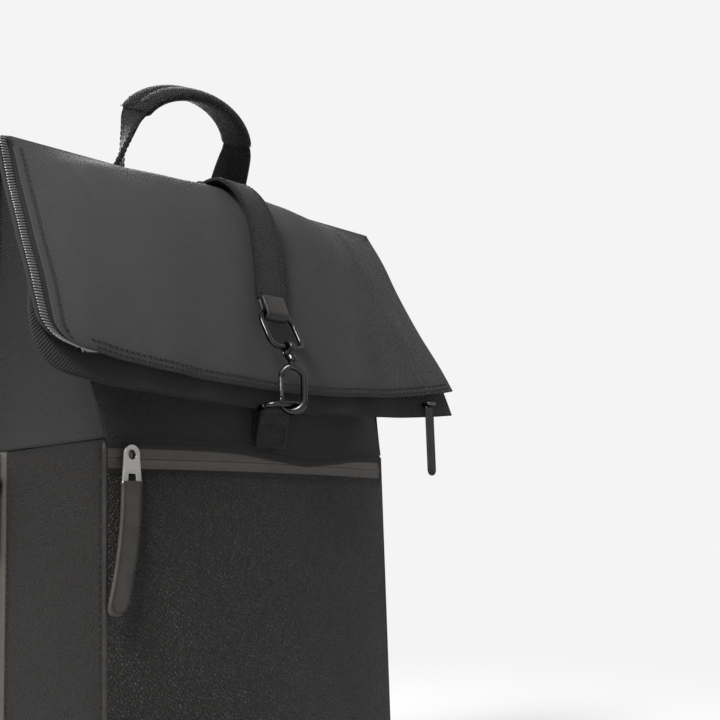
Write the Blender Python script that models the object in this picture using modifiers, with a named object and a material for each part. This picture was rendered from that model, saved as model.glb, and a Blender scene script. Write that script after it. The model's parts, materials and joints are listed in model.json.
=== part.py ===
"""A fold-over leather and twill backpack, built as its separate pieces, in metres.

+Z is up, the front of the bag faces -Y, and the origin is the middle of the flat base.
The lower bag is a box with a bowed front. Above the seam its two skins draw in to a wide
flat ridge, over which the flap folds forward and hooks to a ring on the front.
"""

import math

import bpy
import bmesh
from mathutils import Vector

# Bag body
BODY_WIDTH = 0.290
FRONT_CORNER_Y = -0.065
FRONT_BOW = 0.0153
BACK_Y = 0.0745
SEAM_Z = 0.285
WALL = 0.0025
CLOTH = 0.0012
GAP = 0.0003
BASE_THICK = 0.003
POCKET_TOP_Z = 0.2655
ZIP_BAND = 0.013
LAPTOP_DEPTH = 0.0265
DIVIDER_THICK = 0.0045

# Ridge and flap
RIDGE_Z = 0.4915
RIDGE_Y = -0.018
RIDGE_HALF_WIDTH = 0.192
RIDGE_HALF_DEPTH = 0.003
FRONT_SKIN_TOP = 0.84
FLAP_HALF_WIDTH = 0.209
MOUTH_Y = -0.0945
MOUTH_Z = 0.322
MOUTH_END_Y = -0.0965
MOUTH_END_Z = 0.338
FLAP_LAYER_GAP = 0.0030
FLAP_HEM = 0.993
INNER_SHARE = 0.985
COIL_INSET = 0.0002
MOUTH_TAPE_DROP = 0.0005

# Closure strap, rings and hook
STRAP_X = -0.008
STRAP_WIDTH = 0.030
STRAP_THICK = 0.003
STRAP_AIR = 0.0006
ANCHOR_THICK = 0.0028
LOOP_WIDTH = 0.020
STRAP_END_Z = 0.388
LOOP_BAR_Z = 0.3803
RING_HEIGHT = 0.026
RING_HALF_WIDTH = 0.0168
RING_CORNER = 0.006
RING_WIRE = 0.00175
RING_Y = -0.0905
RING_LEAN = 0.50
HOOK_Y = -0.1068
HOOK_LEG_OFFSET = 0.00825
HOOK_WIRE = 0.00225
GATE_WIRE = 0.0017
HOOK_BOTTOM_Z = 0.3075
HOOK_PLANE_DEG = -50.0
D_PIVOT_Y = -0.0851
D_PIVOT_Z = 0.3095
D_REACH = D_PIVOT_Y - HOOK_Y
D_HALF_WIDTH = 0.0185
D_WIRE = 0.002
TAB_WIDTH = 0.030
TAB_BOTTOM_Z = 0.283

# Zips
TAPE_THICK = 0.0008
TAPE_INSET = 0.0008
COIL_WIDTH = 0.004
COIL_THICK = 0.0014
SLIDER_X = -0.130
SLIDER_SIZE = (0.009, 0.0036, 0.011)
FRONT_PULL_WIDTH = 0.016
FRONT_PULL_LENGTH = 0.084
FRONT_PULL_THICK = 0.0030
MOUTH_SLIDER_X = 0.176
SIDE_ZIP_Y = 0.0525
SIDE_BAND = 0.016
SIDE_SLIDER_Z = 0.262
SMALL_PULL_WIDTH = 0.010
SMALL_PULL_THICK = 0.0026
MOUTH_PULL_LENGTH = 0.058
SIDE_PULL_LENGTH = 0.055
SMALL_SLIDER_THICK = 0.0028

# Carry handle
HANDLE_FOOT_X = 0.0575
HANDLE_FOOT_V = 0.56
FOOT_WIDTH = 0.030
FOOT_THICK = 0.0025
HANDLE_LEG = 0.078
HANDLE_ARCH = 0.036
HANDLE_LEAN = math.radians(23)
HANDLE_BAND = 0.030
HANDLE_BAND_THICK = 0.004
GRIP_WIDTH = 0.033
GRIP_THICK = 0.0095
GRIP_SHARE = 0.30

# Back and shoulder straps
BACK_PAD_WIDTH = 0.210
BACK_PAD_HEIGHT = 0.110
BACK_PAD_GAP = 0.012
BACK_PAD_FOOT = 0.030
BACK_PAD_THICK = 0.0092
STRAP_AXIS_Y = 0.0965
STRAP_TOP = (0.050, 0.380)
STRAP_FOOT = (0.122, 0.034)
STRAP_BOW = 0.048
PAD_WIDTH = 0.056
PAD_THICK = 0.010
WEBBING_WIDTH = 0.025
WEBBING_THICK = 0.0016
TAB_THICK = 0.0027
UPPER_TAB_WIDTH = 0.034
PAD_SHARE = 0.66
LOCK_SHARE = PAD_SHARE + 0.033

COLOURS = {
    "black_leather": ((0.022, 0.021, 0.022), 0.45, 0.0),
    "black_twill": ((0.020, 0.020, 0.022), 0.80, 0.0),
    "zip_tape": ((0.045, 0.040, 0.036), 0.55, 0.0),
    "gunmetal": ((0.10, 0.10, 0.105), 0.35, 1.0),
    "nickel": ((0.50, 0.49, 0.47), 0.30, 1.0),
    "foam_mesh": ((0.025, 0.025, 0.026), 0.95, 0.0),
    "stiffener": ((0.08, 0.08, 0.08), 0.60, 0.0),
    "webbing": ((0.022, 0.022, 0.022), 0.85, 0.0),
    "black_acetal": ((0.02, 0.02, 0.02), 0.40, 0.0),
}

parts = bpy.data.collections.new("leather_backpack")
cutters = bpy.data.collections.new("cutters")


def clear_scene():
    for obj in list(bpy.data.objects):
        bpy.data.objects.remove(obj, do_unlink=True)
    bpy.context.scene.collection.children.link(parts)
    bpy.context.scene.collection.children.link(cutters)


def material(kind):
    """The Principled material of one kind of stuff, made once."""
    found = bpy.data.materials.get(kind)
    if found:
        return found
    colour, rough, metal = COLOURS[kind]
    made = bpy.data.materials.new(kind)
    made.use_nodes = True
    shader = made.node_tree.nodes["Principled BSDF"]
    shader.inputs["Base Color"].default_value = (*colour, 1.0)
    shader.inputs["Roughness"].default_value = rough
    shader.inputs["Metallic"].default_value = metal
    return made


def finish(name, data, kind, parent=None):
    """An object of the parts collection from mesh or curve data, kept in place under its parent."""
    obj = bpy.data.objects.new(name, data)
    parts.objects.link(obj)
    data.materials.append(material(kind))
    if parent:
        obj.parent = parent
        obj.matrix_parent_inverse = parent.matrix_basis.inverted()
    return obj


def pivot(name, place):
    """An empty on a joint's axis, which the moving pieces hang from."""
    empty = bpy.data.objects.new(name, None)
    empty.location = place
    empty.empty_display_size = 0.01
    parts.objects.link(empty)
    return empty


def sheet(name, kind, surface, cells, thick, parent=None, flip=False):
    """A wall of even thickness behind the face surface(u, v), with u from -1 to 1 and v from 0 to 1."""
    bm = bmesh.new()
    bmesh.ops.create_grid(bm, x_segments=cells[0], y_segments=cells[1], size=1.0)
    for vertex in bm.verts:
        vertex.co = surface(vertex.co.x, (vertex.co.y + 1) / 2)
    if flip:
        bmesh.ops.reverse_faces(bm, faces=bm.faces)
    mesh = bpy.data.meshes.new(name)
    bm.to_mesh(mesh)
    bm.free()
    mesh.shade_smooth()
    obj = finish(name, mesh, kind, parent)
    wall = obj.modifiers.new("Wall", "SOLIDIFY")
    wall.thickness = thick
    wall.offset = -1
    return obj


def block(name, kind, low, high, parent=None, bevel=0.0):
    """A box from corner to corner, its edges rounded by bevel."""
    bm = bmesh.new()
    bmesh.ops.create_cube(bm, size=1.0)
    low, high = Vector(low), Vector(high)
    for vertex in bm.verts:
        vertex.co = [(low[i] + high[i]) / 2 + vertex.co[i] * (high[i] - low[i]) for i in range(3)]
    mesh = bpy.data.meshes.new(name)
    bm.to_mesh(mesh)
    bm.free()
    obj = finish(name, mesh, kind, parent)
    if bevel:
        edge = obj.modifiers.new("Edge", "BEVEL")
        edge.width = bevel
        edge.segments = 2
    return obj


def wire(name, kind, points, radius, parent=None, closed=False, resolution=2):
    """A round wire along the points."""
    curve = bpy.data.curves.new(name, "CURVE")
    curve.dimensions = "3D"
    spline = curve.splines.new("POLY")
    spline.points.add(len(points) - 1)
    for point, place in zip(spline.points, points):
        point.co = (*place, 1.0)
    spline.use_cyclic_u = closed
    curve.bevel_depth = radius
    curve.bevel_resolution = resolution
    curve.use_fill_caps = not closed
    return finish(name, curve, kind, parent)


def plate(name, kind, outlines, thick, place, turn, parent=None):
    """A flat plate: closed outlines in its own XY plane, holes after the rim, moved and turned."""
    curve = bpy.data.curves.new(name, "CURVE")
    curve.dimensions = "2D"
    curve.fill_mode = "BOTH"
    curve.extrude = thick / 2
    for outline in outlines:
        spline = curve.splines.new("POLY")
        spline.points.add(len(outline) - 1)
        for point, (x, y) in zip(spline.points, outline):
            point.co = (x, y, 0.0, 1.0)
        spline.use_cyclic_u = True
    obj = finish(name, curve, kind)
    obj.location = place
    obj.rotation_euler = turn
    if parent:
        bpy.context.view_layer.update()
        obj.parent = parent
        obj.matrix_parent_inverse = parent.matrix_basis.inverted()
    return obj


def as_mesh(obj):
    """The same piece with its curve made a welded mesh, ready for a Boolean."""
    bpy.context.view_layer.update()
    graph = bpy.context.evaluated_depsgraph_get()
    mesh = bpy.data.meshes.new_from_object(obj.evaluated_get(graph))
    bm = bmesh.new()
    bm.from_mesh(mesh)
    bmesh.ops.remove_doubles(bm, verts=bm.verts, dist=1e-6)
    bm.to_mesh(mesh)
    bm.free()
    name, parent, world = obj.name, obj.parent, obj.matrix_world.copy()
    bpy.data.objects.remove(obj, do_unlink=True)
    made = bpy.data.objects.new(name, mesh)
    made.matrix_world = world
    parts.objects.link(made)
    if parent:
        made.parent = parent
        made.matrix_parent_inverse = parent.matrix_basis.inverted()
    return made


def join(whole, piece):
    """Joins piece to whole with a Boolean union, and keeps piece as a hidden helper."""
    union = whole.modifiers.new("Join", "BOOLEAN")
    union.operation = "UNION"
    union.solver = "EXACT"
    union.object = piece
    parts.objects.unlink(piece)
    cutters.objects.link(piece)
    piece.hide_render = True
    piece.display_type = "WIRE"
    return whole


def arc(centre, radius, start, end, steps):
    """Points of a circular arc in a plane, angles in degrees."""
    angles = [math.radians(start + (end - start) * i / steps) for i in range(steps + 1)]
    return [(centre[0] + radius * math.cos(a), centre[1] + radius * math.sin(a)) for a in angles]


def mix(a, b, share):
    return a + (b - a) * share


def smooth_path(points, share):
    """A point at share 0 to 1 of a smooth open curve through the points (Catmull-Rom)."""
    spans = len(points) - 1
    at = min(share * spans, spans - 1e-9)
    i = int(at)
    t = at - i
    p = [Vector(points[min(max(k, 0), spans)]) for k in (i - 1, i, i + 1, i + 2)]
    return 0.5 * (
        2 * p[1]
        + (p[2] - p[0]) * t
        + (2 * p[0] - 5 * p[1] + 4 * p[2] - p[3]) * t * t
        + (3 * p[1] - p[0] - 3 * p[2] + p[3]) * t**3
    )


# ---- The shape of the bag -------------------------------------------------------------


def front_y(x):
    """The bowed front: an arc across the body's width, FRONT_BOW deep in the middle."""
    half = BODY_WIDTH / 2
    radius = (half**2 + FRONT_BOW**2) / (2 * FRONT_BOW)
    return FRONT_CORNER_Y - FRONT_BOW + radius - math.sqrt(radius**2 - x**2)


def rise(z):
    """The share of the way from the seam up to the ridge."""
    return (z - SEAM_Z) / (RIDGE_Z - SEAM_Z)


def half_width(f):
    return mix(BODY_WIDTH / 2, RIDGE_HALF_WIDTH, max(f, 0.0) ** 1.2)


def middle_y(f):
    return mix((FRONT_CORNER_Y + BACK_Y) / 2, RIDGE_Y, max(f, 0.0))


def side_half_depth(f):
    """Half the depth of the side gusset, which narrows to nothing at the ridge."""
    return mix((BACK_Y - FRONT_CORNER_Y) / 2, RIDGE_HALF_DEPTH, max(f, 0.0))


def skin(side, s, f):
    """A skin of the upper bag: side -1 is the front and +1 the back, s runs across from -1 to 1."""
    if side < 0:
        reach, power = FRONT_CORNER_Y - FRONT_BOW - RIDGE_Y, 2.0
    else:
        reach, power = BACK_Y - RIDGE_Y, 4.0
    crown = RIDGE_Y + reach * math.sqrt(max(1 - max(f, 0.0) ** power, 0.0))
    edge = middle_y(f) + side * side_half_depth(f)
    x = s * half_width(f)
    y = mix(edge, crown, 1 - abs(s) ** 2.2)
    if side < 0:
        y = min(y, edge)
    return Vector((x, y, SEAM_Z + f * (RIDGE_Z - SEAM_Z)))


def outward(surface, u, v, by):
    """The point of a surface moved along its normal."""
    step = 1e-4
    along = surface(u + step, v) - surface(u - step, v)
    up = surface(u, v + step) - surface(u, v - step)
    return surface(u, v) + along.cross(up).normalized() * by


def back_rise(v):
    """The share of the rise at v, closing up as the skin nears the ridge."""
    return math.sin(math.radians(mix(0.0002, 89.5, v))) ** 0.5


def back_surface(u, v):
    """The back and top skin, wound so that its normal points out of the bag."""
    return skin(1, -u, back_rise(v))


FLAP_MIDDLE = [
    (-0.0181, 0.4920),
    (-0.0385, 0.4880),
    (-0.0575, 0.4640),
    (-0.0700, 0.4300),
    (-0.0820, 0.3900),
    (-0.0900, 0.3500),
    (MOUTH_Y, MOUTH_Z),
]
FLAP_END = [(-0.0190, 0.4915), (MOUTH_END_Y, MOUTH_END_Z)]


def flap_surface(u, v):
    """The outer face of the flap from the ridge, v = 0, to the mouth, v = 1. Its ends hang straight."""
    middle = smooth_path([(0, y, z) for y, z in FLAP_MIDDLE], v)
    end = Vector((0, *FLAP_END[0])).lerp(Vector((0, *FLAP_END[1])), v)
    place = middle.lerp(end, abs(u) ** 2)
    place.x = -u * mix(RIDGE_HALF_WIDTH, FLAP_HALF_WIDTH, v)
    return place


# ---- Lower bag ------------------------------------------------------------------------


def base_outline():
    half = BODY_WIDTH / 2
    count = 14
    front = [(-half + 2 * half * i / count) for i in range(count + 1)]
    return [(x, front_y(x)) for x in front] + [(half, BACK_Y), (-half, BACK_Y)]


def lower_bag():
    half = BODY_WIDTH / 2
    floor_z = BASE_THICK + GAP
    inner_half = half - WALL - 2 * GAP
    divider_y = BACK_Y - WALL - GAP - LAPTOP_DEPTH - DIVIDER_THICK
    inner_front_y = FRONT_CORNER_Y + 0.0055
    middle = (0, 0, BASE_THICK / 2)
    plate("bottom_panel", "black_leather", [base_outline()], BASE_THICK, middle, (0, 0, 0))
    block(
        "base_board",
        "stiffener",
        (-inner_half, inner_front_y + CLOTH + GAP, floor_z),
        (inner_half, divider_y - GAP, floor_z + 0.0025),
    )

    def pocket(u, v):
        return Vector((u * inner_half, front_y(u * inner_half), mix(floor_z, POCKET_TOP_Z, v)))

    sheet("front_pocket_panel", "black_leather", pocket, (14, 3), WALL)

    yoke_z = POCKET_TOP_Z + ZIP_BAND

    def inner_front(u, v):
        x = u * inner_half
        y = mix(inner_front_y, front_y(x) + 0.0025 + WALL, v**4)
        return Vector((x, y, mix(floor_z, yoke_z - GAP, v)))

    sheet("front_inner_wall", "black_twill", inner_front, (12, 6), CLOTH)

    def tape(u, v):
        x = u * inner_half
        return Vector((x, front_y(x) + TAPE_INSET, mix(POCKET_TOP_Z + GAP, yoke_z - GAP, v)))

    sheet("front_zip_tape", "zip_tape", tape, (14, 1), TAPE_THICK)

    coil_z = POCKET_TOP_Z + ZIP_BAND / 2

    def coil(u, v):
        x = u * inner_half
        y = front_y(x) + TAPE_INSET - GAP - COIL_THICK
        return Vector((x, y, coil_z + (v - 0.5) * COIL_WIDTH))

    sheet("front_zip_coil", "zip_tape", coil, (14, 1), COIL_THICK)

    side_front_y = FRONT_CORNER_Y + 2 * GAP
    side_back_y = SIDE_ZIP_Y - SIDE_BAND / 2
    zip_back_y = SIDE_ZIP_Y + SIDE_BAND / 2
    gusset_back_y = BACK_Y - WALL - GAP
    for name, side, gusset_front_y in (("left", -1, zip_back_y), ("right", 1, side_back_y + GAP)):
        for part, low, high in (
            (f"side_panel_{name}", side_front_y, side_back_y),
            (f"rear_gusset_{name}", gusset_front_y, gusset_back_y),
        ):
            block(
                part,
                "black_leather",
                (min(side * half, side * (half - WALL)), low, floor_z),
                (max(side * half, side * (half - WALL)), high, SEAM_Z - GAP),
            )
    tape_x = -half + TAPE_INSET
    block(
        "side_zip_tape",
        "zip_tape",
        (tape_x, side_back_y + GAP, floor_z),
        (tape_x + TAPE_THICK, zip_back_y - GAP, SEAM_Z - GAP),
    )
    block(
        "side_zip_coil",
        "zip_tape",
        (tape_x - GAP - COIL_THICK, SIDE_ZIP_Y - COIL_WIDTH / 2, floor_z + 0.02),
        (tape_x - GAP, SIDE_ZIP_Y + COIL_WIDTH / 2, SEAM_Z - 0.004),
    )
    block(
        "back_panel",
        "black_twill",
        (-half, BACK_Y - WALL, floor_z),
        (half, BACK_Y, SEAM_Z - GAP),
    )
    block(
        "laptop_divider",
        "foam_mesh",
        (-inner_half, divider_y, floor_z),
        (inner_half, divider_y + DIVIDER_THICK, SEAM_Z + 0.020),
        bevel=0.0012,
    )
    for name, low in (("lower", BACK_PAD_FOOT), ("upper", BACK_PAD_FOOT + BACK_PAD_HEIGHT + BACK_PAD_GAP)):
        block(
            f"back_pad_{name}",
            "foam_mesh",
            (-BACK_PAD_WIDTH / 2, BACK_Y + GAP, low),
            (BACK_PAD_WIDTH / 2, BACK_Y + GAP + BACK_PAD_THICK, low + BACK_PAD_HEIGHT),
            bevel=0.004,
        )


# ---- Upper bag ------------------------------------------------------------------------


def upper_bag():
    yoke_f = rise(POCKET_TOP_Z + ZIP_BAND)

    def front(u, v):
        f = mix(yoke_f, FRONT_SKIN_TOP, v)
        if f < 0:
            x = u * (BODY_WIDTH / 2 - WALL - 2 * GAP)
            return Vector((x, front_y(x), SEAM_Z + f * (RIDGE_Z - SEAM_Z)))
        return skin(-1, u * 0.965, f)

    sheet("front_yoke", "black_twill", front, (16, 10), CLOTH)
    sheet("top_panel", "black_twill", lambda u, v: back_surface(u * 0.965, v), (18, 12), CLOTH)

    for name, side in (("left", -1), ("right", 1)):

        def gusset(u, v, side=side):
            f = mix(0.003, FRONT_SKIN_TOP, v)
            front_edge = skin(-1, side * 0.985, f)
            back_edge = skin(1, side * 0.985, f)
            edge_x = side * half_width(f)
            share = (u + 1) / 2
            y = mix(front_edge.y + 0.0006, back_edge.y - 0.0006, share)
            return Vector((edge_x, y, front_edge.z))

        sheet(f"side_gusset_{name}", "black_twill", gusset, (4, 6), CLOTH, flip=side < 0)

    near_ridge = half_width(0.9)

    def anchor(u, v):
        across = (u * STRAP_WIDTH / 2 - STRAP_X) / near_ridge
        return outward(back_surface, across, mix(0.52, 0.945, v), GAP + ANCHOR_THICK)

    sheet("strap_anchor", "black_leather", anchor, (3, 8), ANCHOR_THICK)

    for name, side in (("left", -1), ("right", 1)):

        def patch(u, v, side=side):
            across = (u * FOOT_WIDTH / 2 - side * HANDLE_FOOT_X) / near_ridge
            at = HANDLE_FOOT_V + mix(-0.13, 0.04, v)
            return outward(back_surface, across, at, GAP + FOOT_THICK)

        sheet(f"handle_foot_{name}", "black_leather", patch, (3, 4), FOOT_THICK)


def tab_outline():
    """The sewn tab from its side, with a loop at its top round the D-ring's bar, and the loop's hole."""
    hole, rim = D_WIRE + 0.0006, D_WIRE + 0.0028
    back = front_y(STRAP_X) - GAP - D_PIVOT_Y
    front = back - STRAP_THICK
    foot = TAB_BOTTOM_Z - D_PIVOT_Z
    outline = [(back, foot), (back, 0.0)] + arc((0, 0), rim, 20, 225, 11)
    outline += [(front, -rim - 0.001), (front, foot)]
    return outline, arc((0, 0), hole, 0, 330, 11)


def sewn_tab():
    outline, circle = tab_outline()
    plate(
        "ring_tab",
        "black_leather",
        [outline, circle],
        TAB_WIDTH,
        (STRAP_X, D_PIVOT_Y, D_PIVOT_Z),
        (math.pi / 2, 0, math.pi / 2),
    )
    hub = pivot("d_ring_pivot", (STRAP_X, D_PIVOT_Y, D_PIVOT_Z))
    tilt = 0.003
    half, corner = D_HALF_WIDTH, 0.011
    flat = [(-half, 0.0), (half, 0.0)]
    flat += arc((half - corner, D_REACH - corner), corner, 0, 90, 6)
    flat += arc((-half + corner, D_REACH - corner), corner, 90, 180, 6)
    points = [
        (STRAP_X + x, D_PIVOT_Y - r, D_PIVOT_Z + tilt * r / D_REACH)
        for x, r in flat
    ]
    wire("d_ring", "gunmetal", points, D_WIRE, hub, closed=True)


# ---- Flap and closure -----------------------------------------------------------------


def flap():
    hub = pivot("flap_pivot", (0, RIDGE_Y, RIDGE_Z))

    def outer(u, v):
        return flap_surface(u, v * FLAP_HEM)

    sheet("flap_outer", "black_twill", outer, (20, 12), CLOTH, hub)

    def inner(u, v):
        return outward(flap_surface, u * INNER_SHARE, mix(0.10, FLAP_HEM, v), -FLAP_LAYER_GAP)

    sheet("flap_inner", "black_twill", inner, (20, 10), CLOTH, hub)

    def mouth(u, v):
        place = outward(flap_surface, u * INNER_SHARE, 1.0, -mix(COIL_INSET, FLAP_LAYER_GAP + CLOTH, v))
        place.z -= MOUTH_TAPE_DROP
        return place

    sheet("mouth_zip_tape", "zip_tape", mouth, (20, 1), TAPE_THICK, hub)

    def teeth(u, v):
        place = outward(flap_surface, u * INNER_SHARE, 1.0, -COIL_INSET - v * COIL_WIDTH)
        place.z -= MOUTH_TAPE_DROP + COIL_THICK + GAP
        return place

    sheet("mouth_zip_coil", "zip_tape", teeth, (20, 1), COIL_THICK, hub)

    def strap(u, v):
        centre = -STRAP_X / FLAP_HALF_WIDTH
        across = centre + u * STRAP_WIDTH / 2 / mix(RIDGE_HALF_WIDTH, FLAP_HALF_WIDTH, v)
        return outward(flap_surface, across, mix(0.05, 0.668, v), STRAP_THICK + STRAP_AIR)

    sheet("closure_strap", "black_leather", strap, (3, 14), STRAP_THICK, hub)
    return hub


def closure(flap_hub):
    """The strap's loop, the ring that hangs in it, and the swivel hook that takes the D-ring."""
    hole, rim = RING_WIRE + 0.0006, RING_WIRE + 0.0028
    top = STRAP_END_Z - LOOP_BAR_Z
    outline = [(rim - 0.0001, top), (rim - 0.0001, 0.0)] + arc((0, 0), rim, -20, -230, 12)
    outline += [(rim - STRAP_THICK, rim), (rim - STRAP_THICK, top)]
    circle = arc((0, 0), hole, 0, 330, 11)
    place = (STRAP_X, RING_Y, LOOP_BAR_Z)
    turn = (math.pi / 2, 0, math.pi / 2)
    plate("strap_loop", "black_leather", [outline, circle], LOOP_WIDTH, place, turn, flap_hub)

    ring_hub = pivot("oval_ring_pivot", place)
    half, corner = RING_HALF_WIDTH, RING_CORNER
    rounded = arc((half - corner, -corner), corner, 90, 0, 4)
    rounded += arc((half - corner, -RING_HEIGHT + corner), corner, 0, -90, 4)
    rounded += arc((-half + corner, -RING_HEIGHT + corner), corner, -90, -180, 4)
    rounded += arc((-half + corner, -corner), corner, 180, 90, 4)
    points = [(STRAP_X + x, RING_Y + RING_LEAN * z, LOOP_BAR_Z + z) for x, z in rounded]
    wire("oval_ring", "gunmetal", points, RING_WIRE, ring_hub, closed=True)

    eye_y = RING_Y - RING_LEAN * RING_HEIGHT
    eye_z = LOOP_BAR_Z - RING_HEIGHT
    eye_hub = pivot("swivel_pivot", (STRAP_X, eye_y, eye_z))
    eye_radius, eye_wire = 0.0046, 0.0015
    eye_centre_z = eye_z - 0.0012
    circle = [
        (STRAP_X, eye_y + eye_radius * math.cos(a), eye_centre_z + eye_radius * math.sin(a))
        for a in [math.tau * i / 14 for i in range(14)]
    ]
    eye = as_mesh(wire("hook_swivel", "gunmetal", circle, eye_wire, eye_hub, closed=True))
    collar_top = eye_centre_z - eye_radius + 0.0006
    collar_foot = collar_top - 0.0045
    points = [(eye_y, collar_top), (HOOK_Y, mix(collar_top, collar_foot, 0.5)), (HOOK_Y, collar_foot)]
    points = [(STRAP_X, y, z) for y, z in points]
    join(eye, as_mesh(wire("swivel_collar", "gunmetal", points, 0.0034, eye_hub)))

    hook_top = collar_foot - GAP
    hook_hub = pivot("hook_pivot", (STRAP_X, HOOK_Y, hook_top))
    angle = math.radians(HOOK_PLANE_DEG)
    along = Vector((math.cos(angle), math.sin(angle), 0.0))
    leg = HOOK_LEG_OFFSET
    bend_z = HOOK_BOTTOM_Z + leg
    flat = [(0.0, hook_top), (0.0, hook_top - 0.0035), (leg * 0.55, hook_top - 0.0065)]
    flat += [(leg * 0.93, hook_top - 0.0105), (leg, hook_top - 0.0150)]
    flat += arc((0, bend_z), leg, 0, -180, 10)
    flat += [(-leg, bend_z + 0.0022)]
    base = Vector((STRAP_X, HOOK_Y, 0.0))
    points = [base + along * d + Vector((0, 0, z)) for d, z in flat]
    hook = as_mesh(wire("snap_hook", "gunmetal", points, HOOK_WIRE, hook_hub))
    shoulder = [(0.0, hook_top - 0.0035), (-leg * 0.62, hook_top - 0.0062)]
    points = [base + along * d + Vector((0, 0, z)) for d, z in shoulder]
    join(hook, as_mesh(wire("hook_shoulder", "gunmetal", points, HOOK_WIRE * 0.95, hook_hub)))
    gate = [(-leg, hook_top - 0.0112), (-leg, bend_z + 0.0022 + GAP * 2)]
    gate_place = base + along * gate[0][0] + Vector((0, 0, gate[0][1]))
    gate_hub = pivot("gate_pivot", gate_place)
    points = [base + along * d + Vector((0, 0, z)) for d, z in gate]
    wire("hook_gate", "nickel", points, GATE_WIRE, gate_hub)


# ---- Zip sliders and pulls ------------------------------------------------------------


def strip_outline(half, length):
    """A pull strip, square at its top and round at its foot."""
    outline = [(half, 0), (-half, 0), (-half, -length + half)]
    return outline + arc((0, -length + half), half, 180, 360, 8)[1:]


def front_zip_slider():
    x = SLIDER_X
    face = front_y(x) + TAPE_INSET - GAP - COIL_THICK - GAP
    coil_z = POCKET_TOP_Z + ZIP_BAND / 2
    width, deep, tall = SLIDER_SIZE
    hub = pivot("front_slider_pivot", (0, front_y(x), coil_z))
    low = (x - width / 2, face - deep, coil_z - tall / 2)
    high = (x + width / 2, face - 0.0010, coil_z + tall / 2)
    block("front_zip_slider", "gunmetal", low, high, hub, bevel=0.0008)

    hinge_y, hinge_z = face - deep - 0.0014, coil_z + 0.002
    half, bottom = 0.0065, -0.0185
    tab_hub = pivot("front_tab_pivot", (x, hinge_y, hinge_z + half))
    outline = arc((0, 0), half, 0, 180, 10) + [(-half * 1.12, bottom), (half * 1.12, bottom)]
    hole = arc((0, 0), 0.0034, 0, 330, 11)
    upright = (math.pi / 2, 0, 0)
    plate("front_zip_tab", "nickel", [outline, hole], 0.0018, (x, hinge_y, hinge_z), upright, tab_hub)

    strip_top = hinge_z + bottom - GAP * 3
    strip_hub = pivot("front_pull_pivot", (x, hinge_y, strip_top - FRONT_PULL_THICK / 2))
    place = (x, hinge_y, strip_top)
    outline = strip_outline(FRONT_PULL_WIDTH / 2, FRONT_PULL_LENGTH)
    plate("front_zip_pull", "black_leather", [outline], FRONT_PULL_THICK, place, upright, strip_hub)


def mouth_zip_slider():
    u = -MOUTH_SLIDER_X / FLAP_HALF_WIDTH
    edge = outward(flap_surface, u, 1.0, -COIL_INSET - COIL_WIDTH / 2)
    top = edge.z - MOUTH_TAPE_DROP - GAP - COIL_THICK - 0.0015
    x, y = edge.x, edge.y
    bottom = top - SMALL_SLIDER_THICK
    hub = pivot("mouth_slider_pivot", (0, y, top))
    low, high = (x - 0.005, y - 0.004, bottom), (x + 0.005, y + 0.004, top)
    block("mouth_zip_slider", "gunmetal", low, high, hub, bevel=0.0006)
    pull_top = bottom - GAP * 3
    pull_hub = pivot("mouth_pull_pivot", (x, y, pull_top - SMALL_PULL_THICK / 2))
    outline = strip_outline(SMALL_PULL_WIDTH / 2, MOUTH_PULL_LENGTH)
    place = (x, y, pull_top)
    plate("mouth_zip_pull", "black_leather", [outline], SMALL_PULL_THICK, place, (math.pi / 2, 0, 0), pull_hub)


def side_zip_slider():
    x = -BODY_WIDTH / 2 + TAPE_INSET - GAP - COIL_THICK - GAP
    y, z = SIDE_ZIP_Y, SIDE_SLIDER_Z
    hub = pivot("side_slider_pivot", (x, y, z))
    low, high = (x - SMALL_SLIDER_THICK, y - 0.005, z - 0.005), (x, y + 0.005, z + 0.005)
    block("side_zip_slider", "gunmetal", low, high, hub, bevel=0.0006)
    place = (x - SMALL_SLIDER_THICK - SMALL_PULL_THICK / 2 - GAP, y, z)
    pull_hub = pivot("side_pull_pivot", place)
    outline = strip_outline(SMALL_PULL_WIDTH / 2, SIDE_PULL_LENGTH)
    turn = (math.pi / 2, 0, math.pi / 2)
    plate("side_zip_pull", "black_leather", [outline], SMALL_PULL_THICK, place, turn, pull_hub)


# ---- Handle ---------------------------------------------------------------------------


def handle_foot_place():
    """Where the left foot's fold line lies, just off its sewn patch."""
    off = GAP + FOOT_THICK + HANDLE_BAND_THICK / 2 + GAP * 6
    return outward(back_surface, HANDLE_FOOT_X / half_width(0.9), HANDLE_FOOT_V, off)


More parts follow.
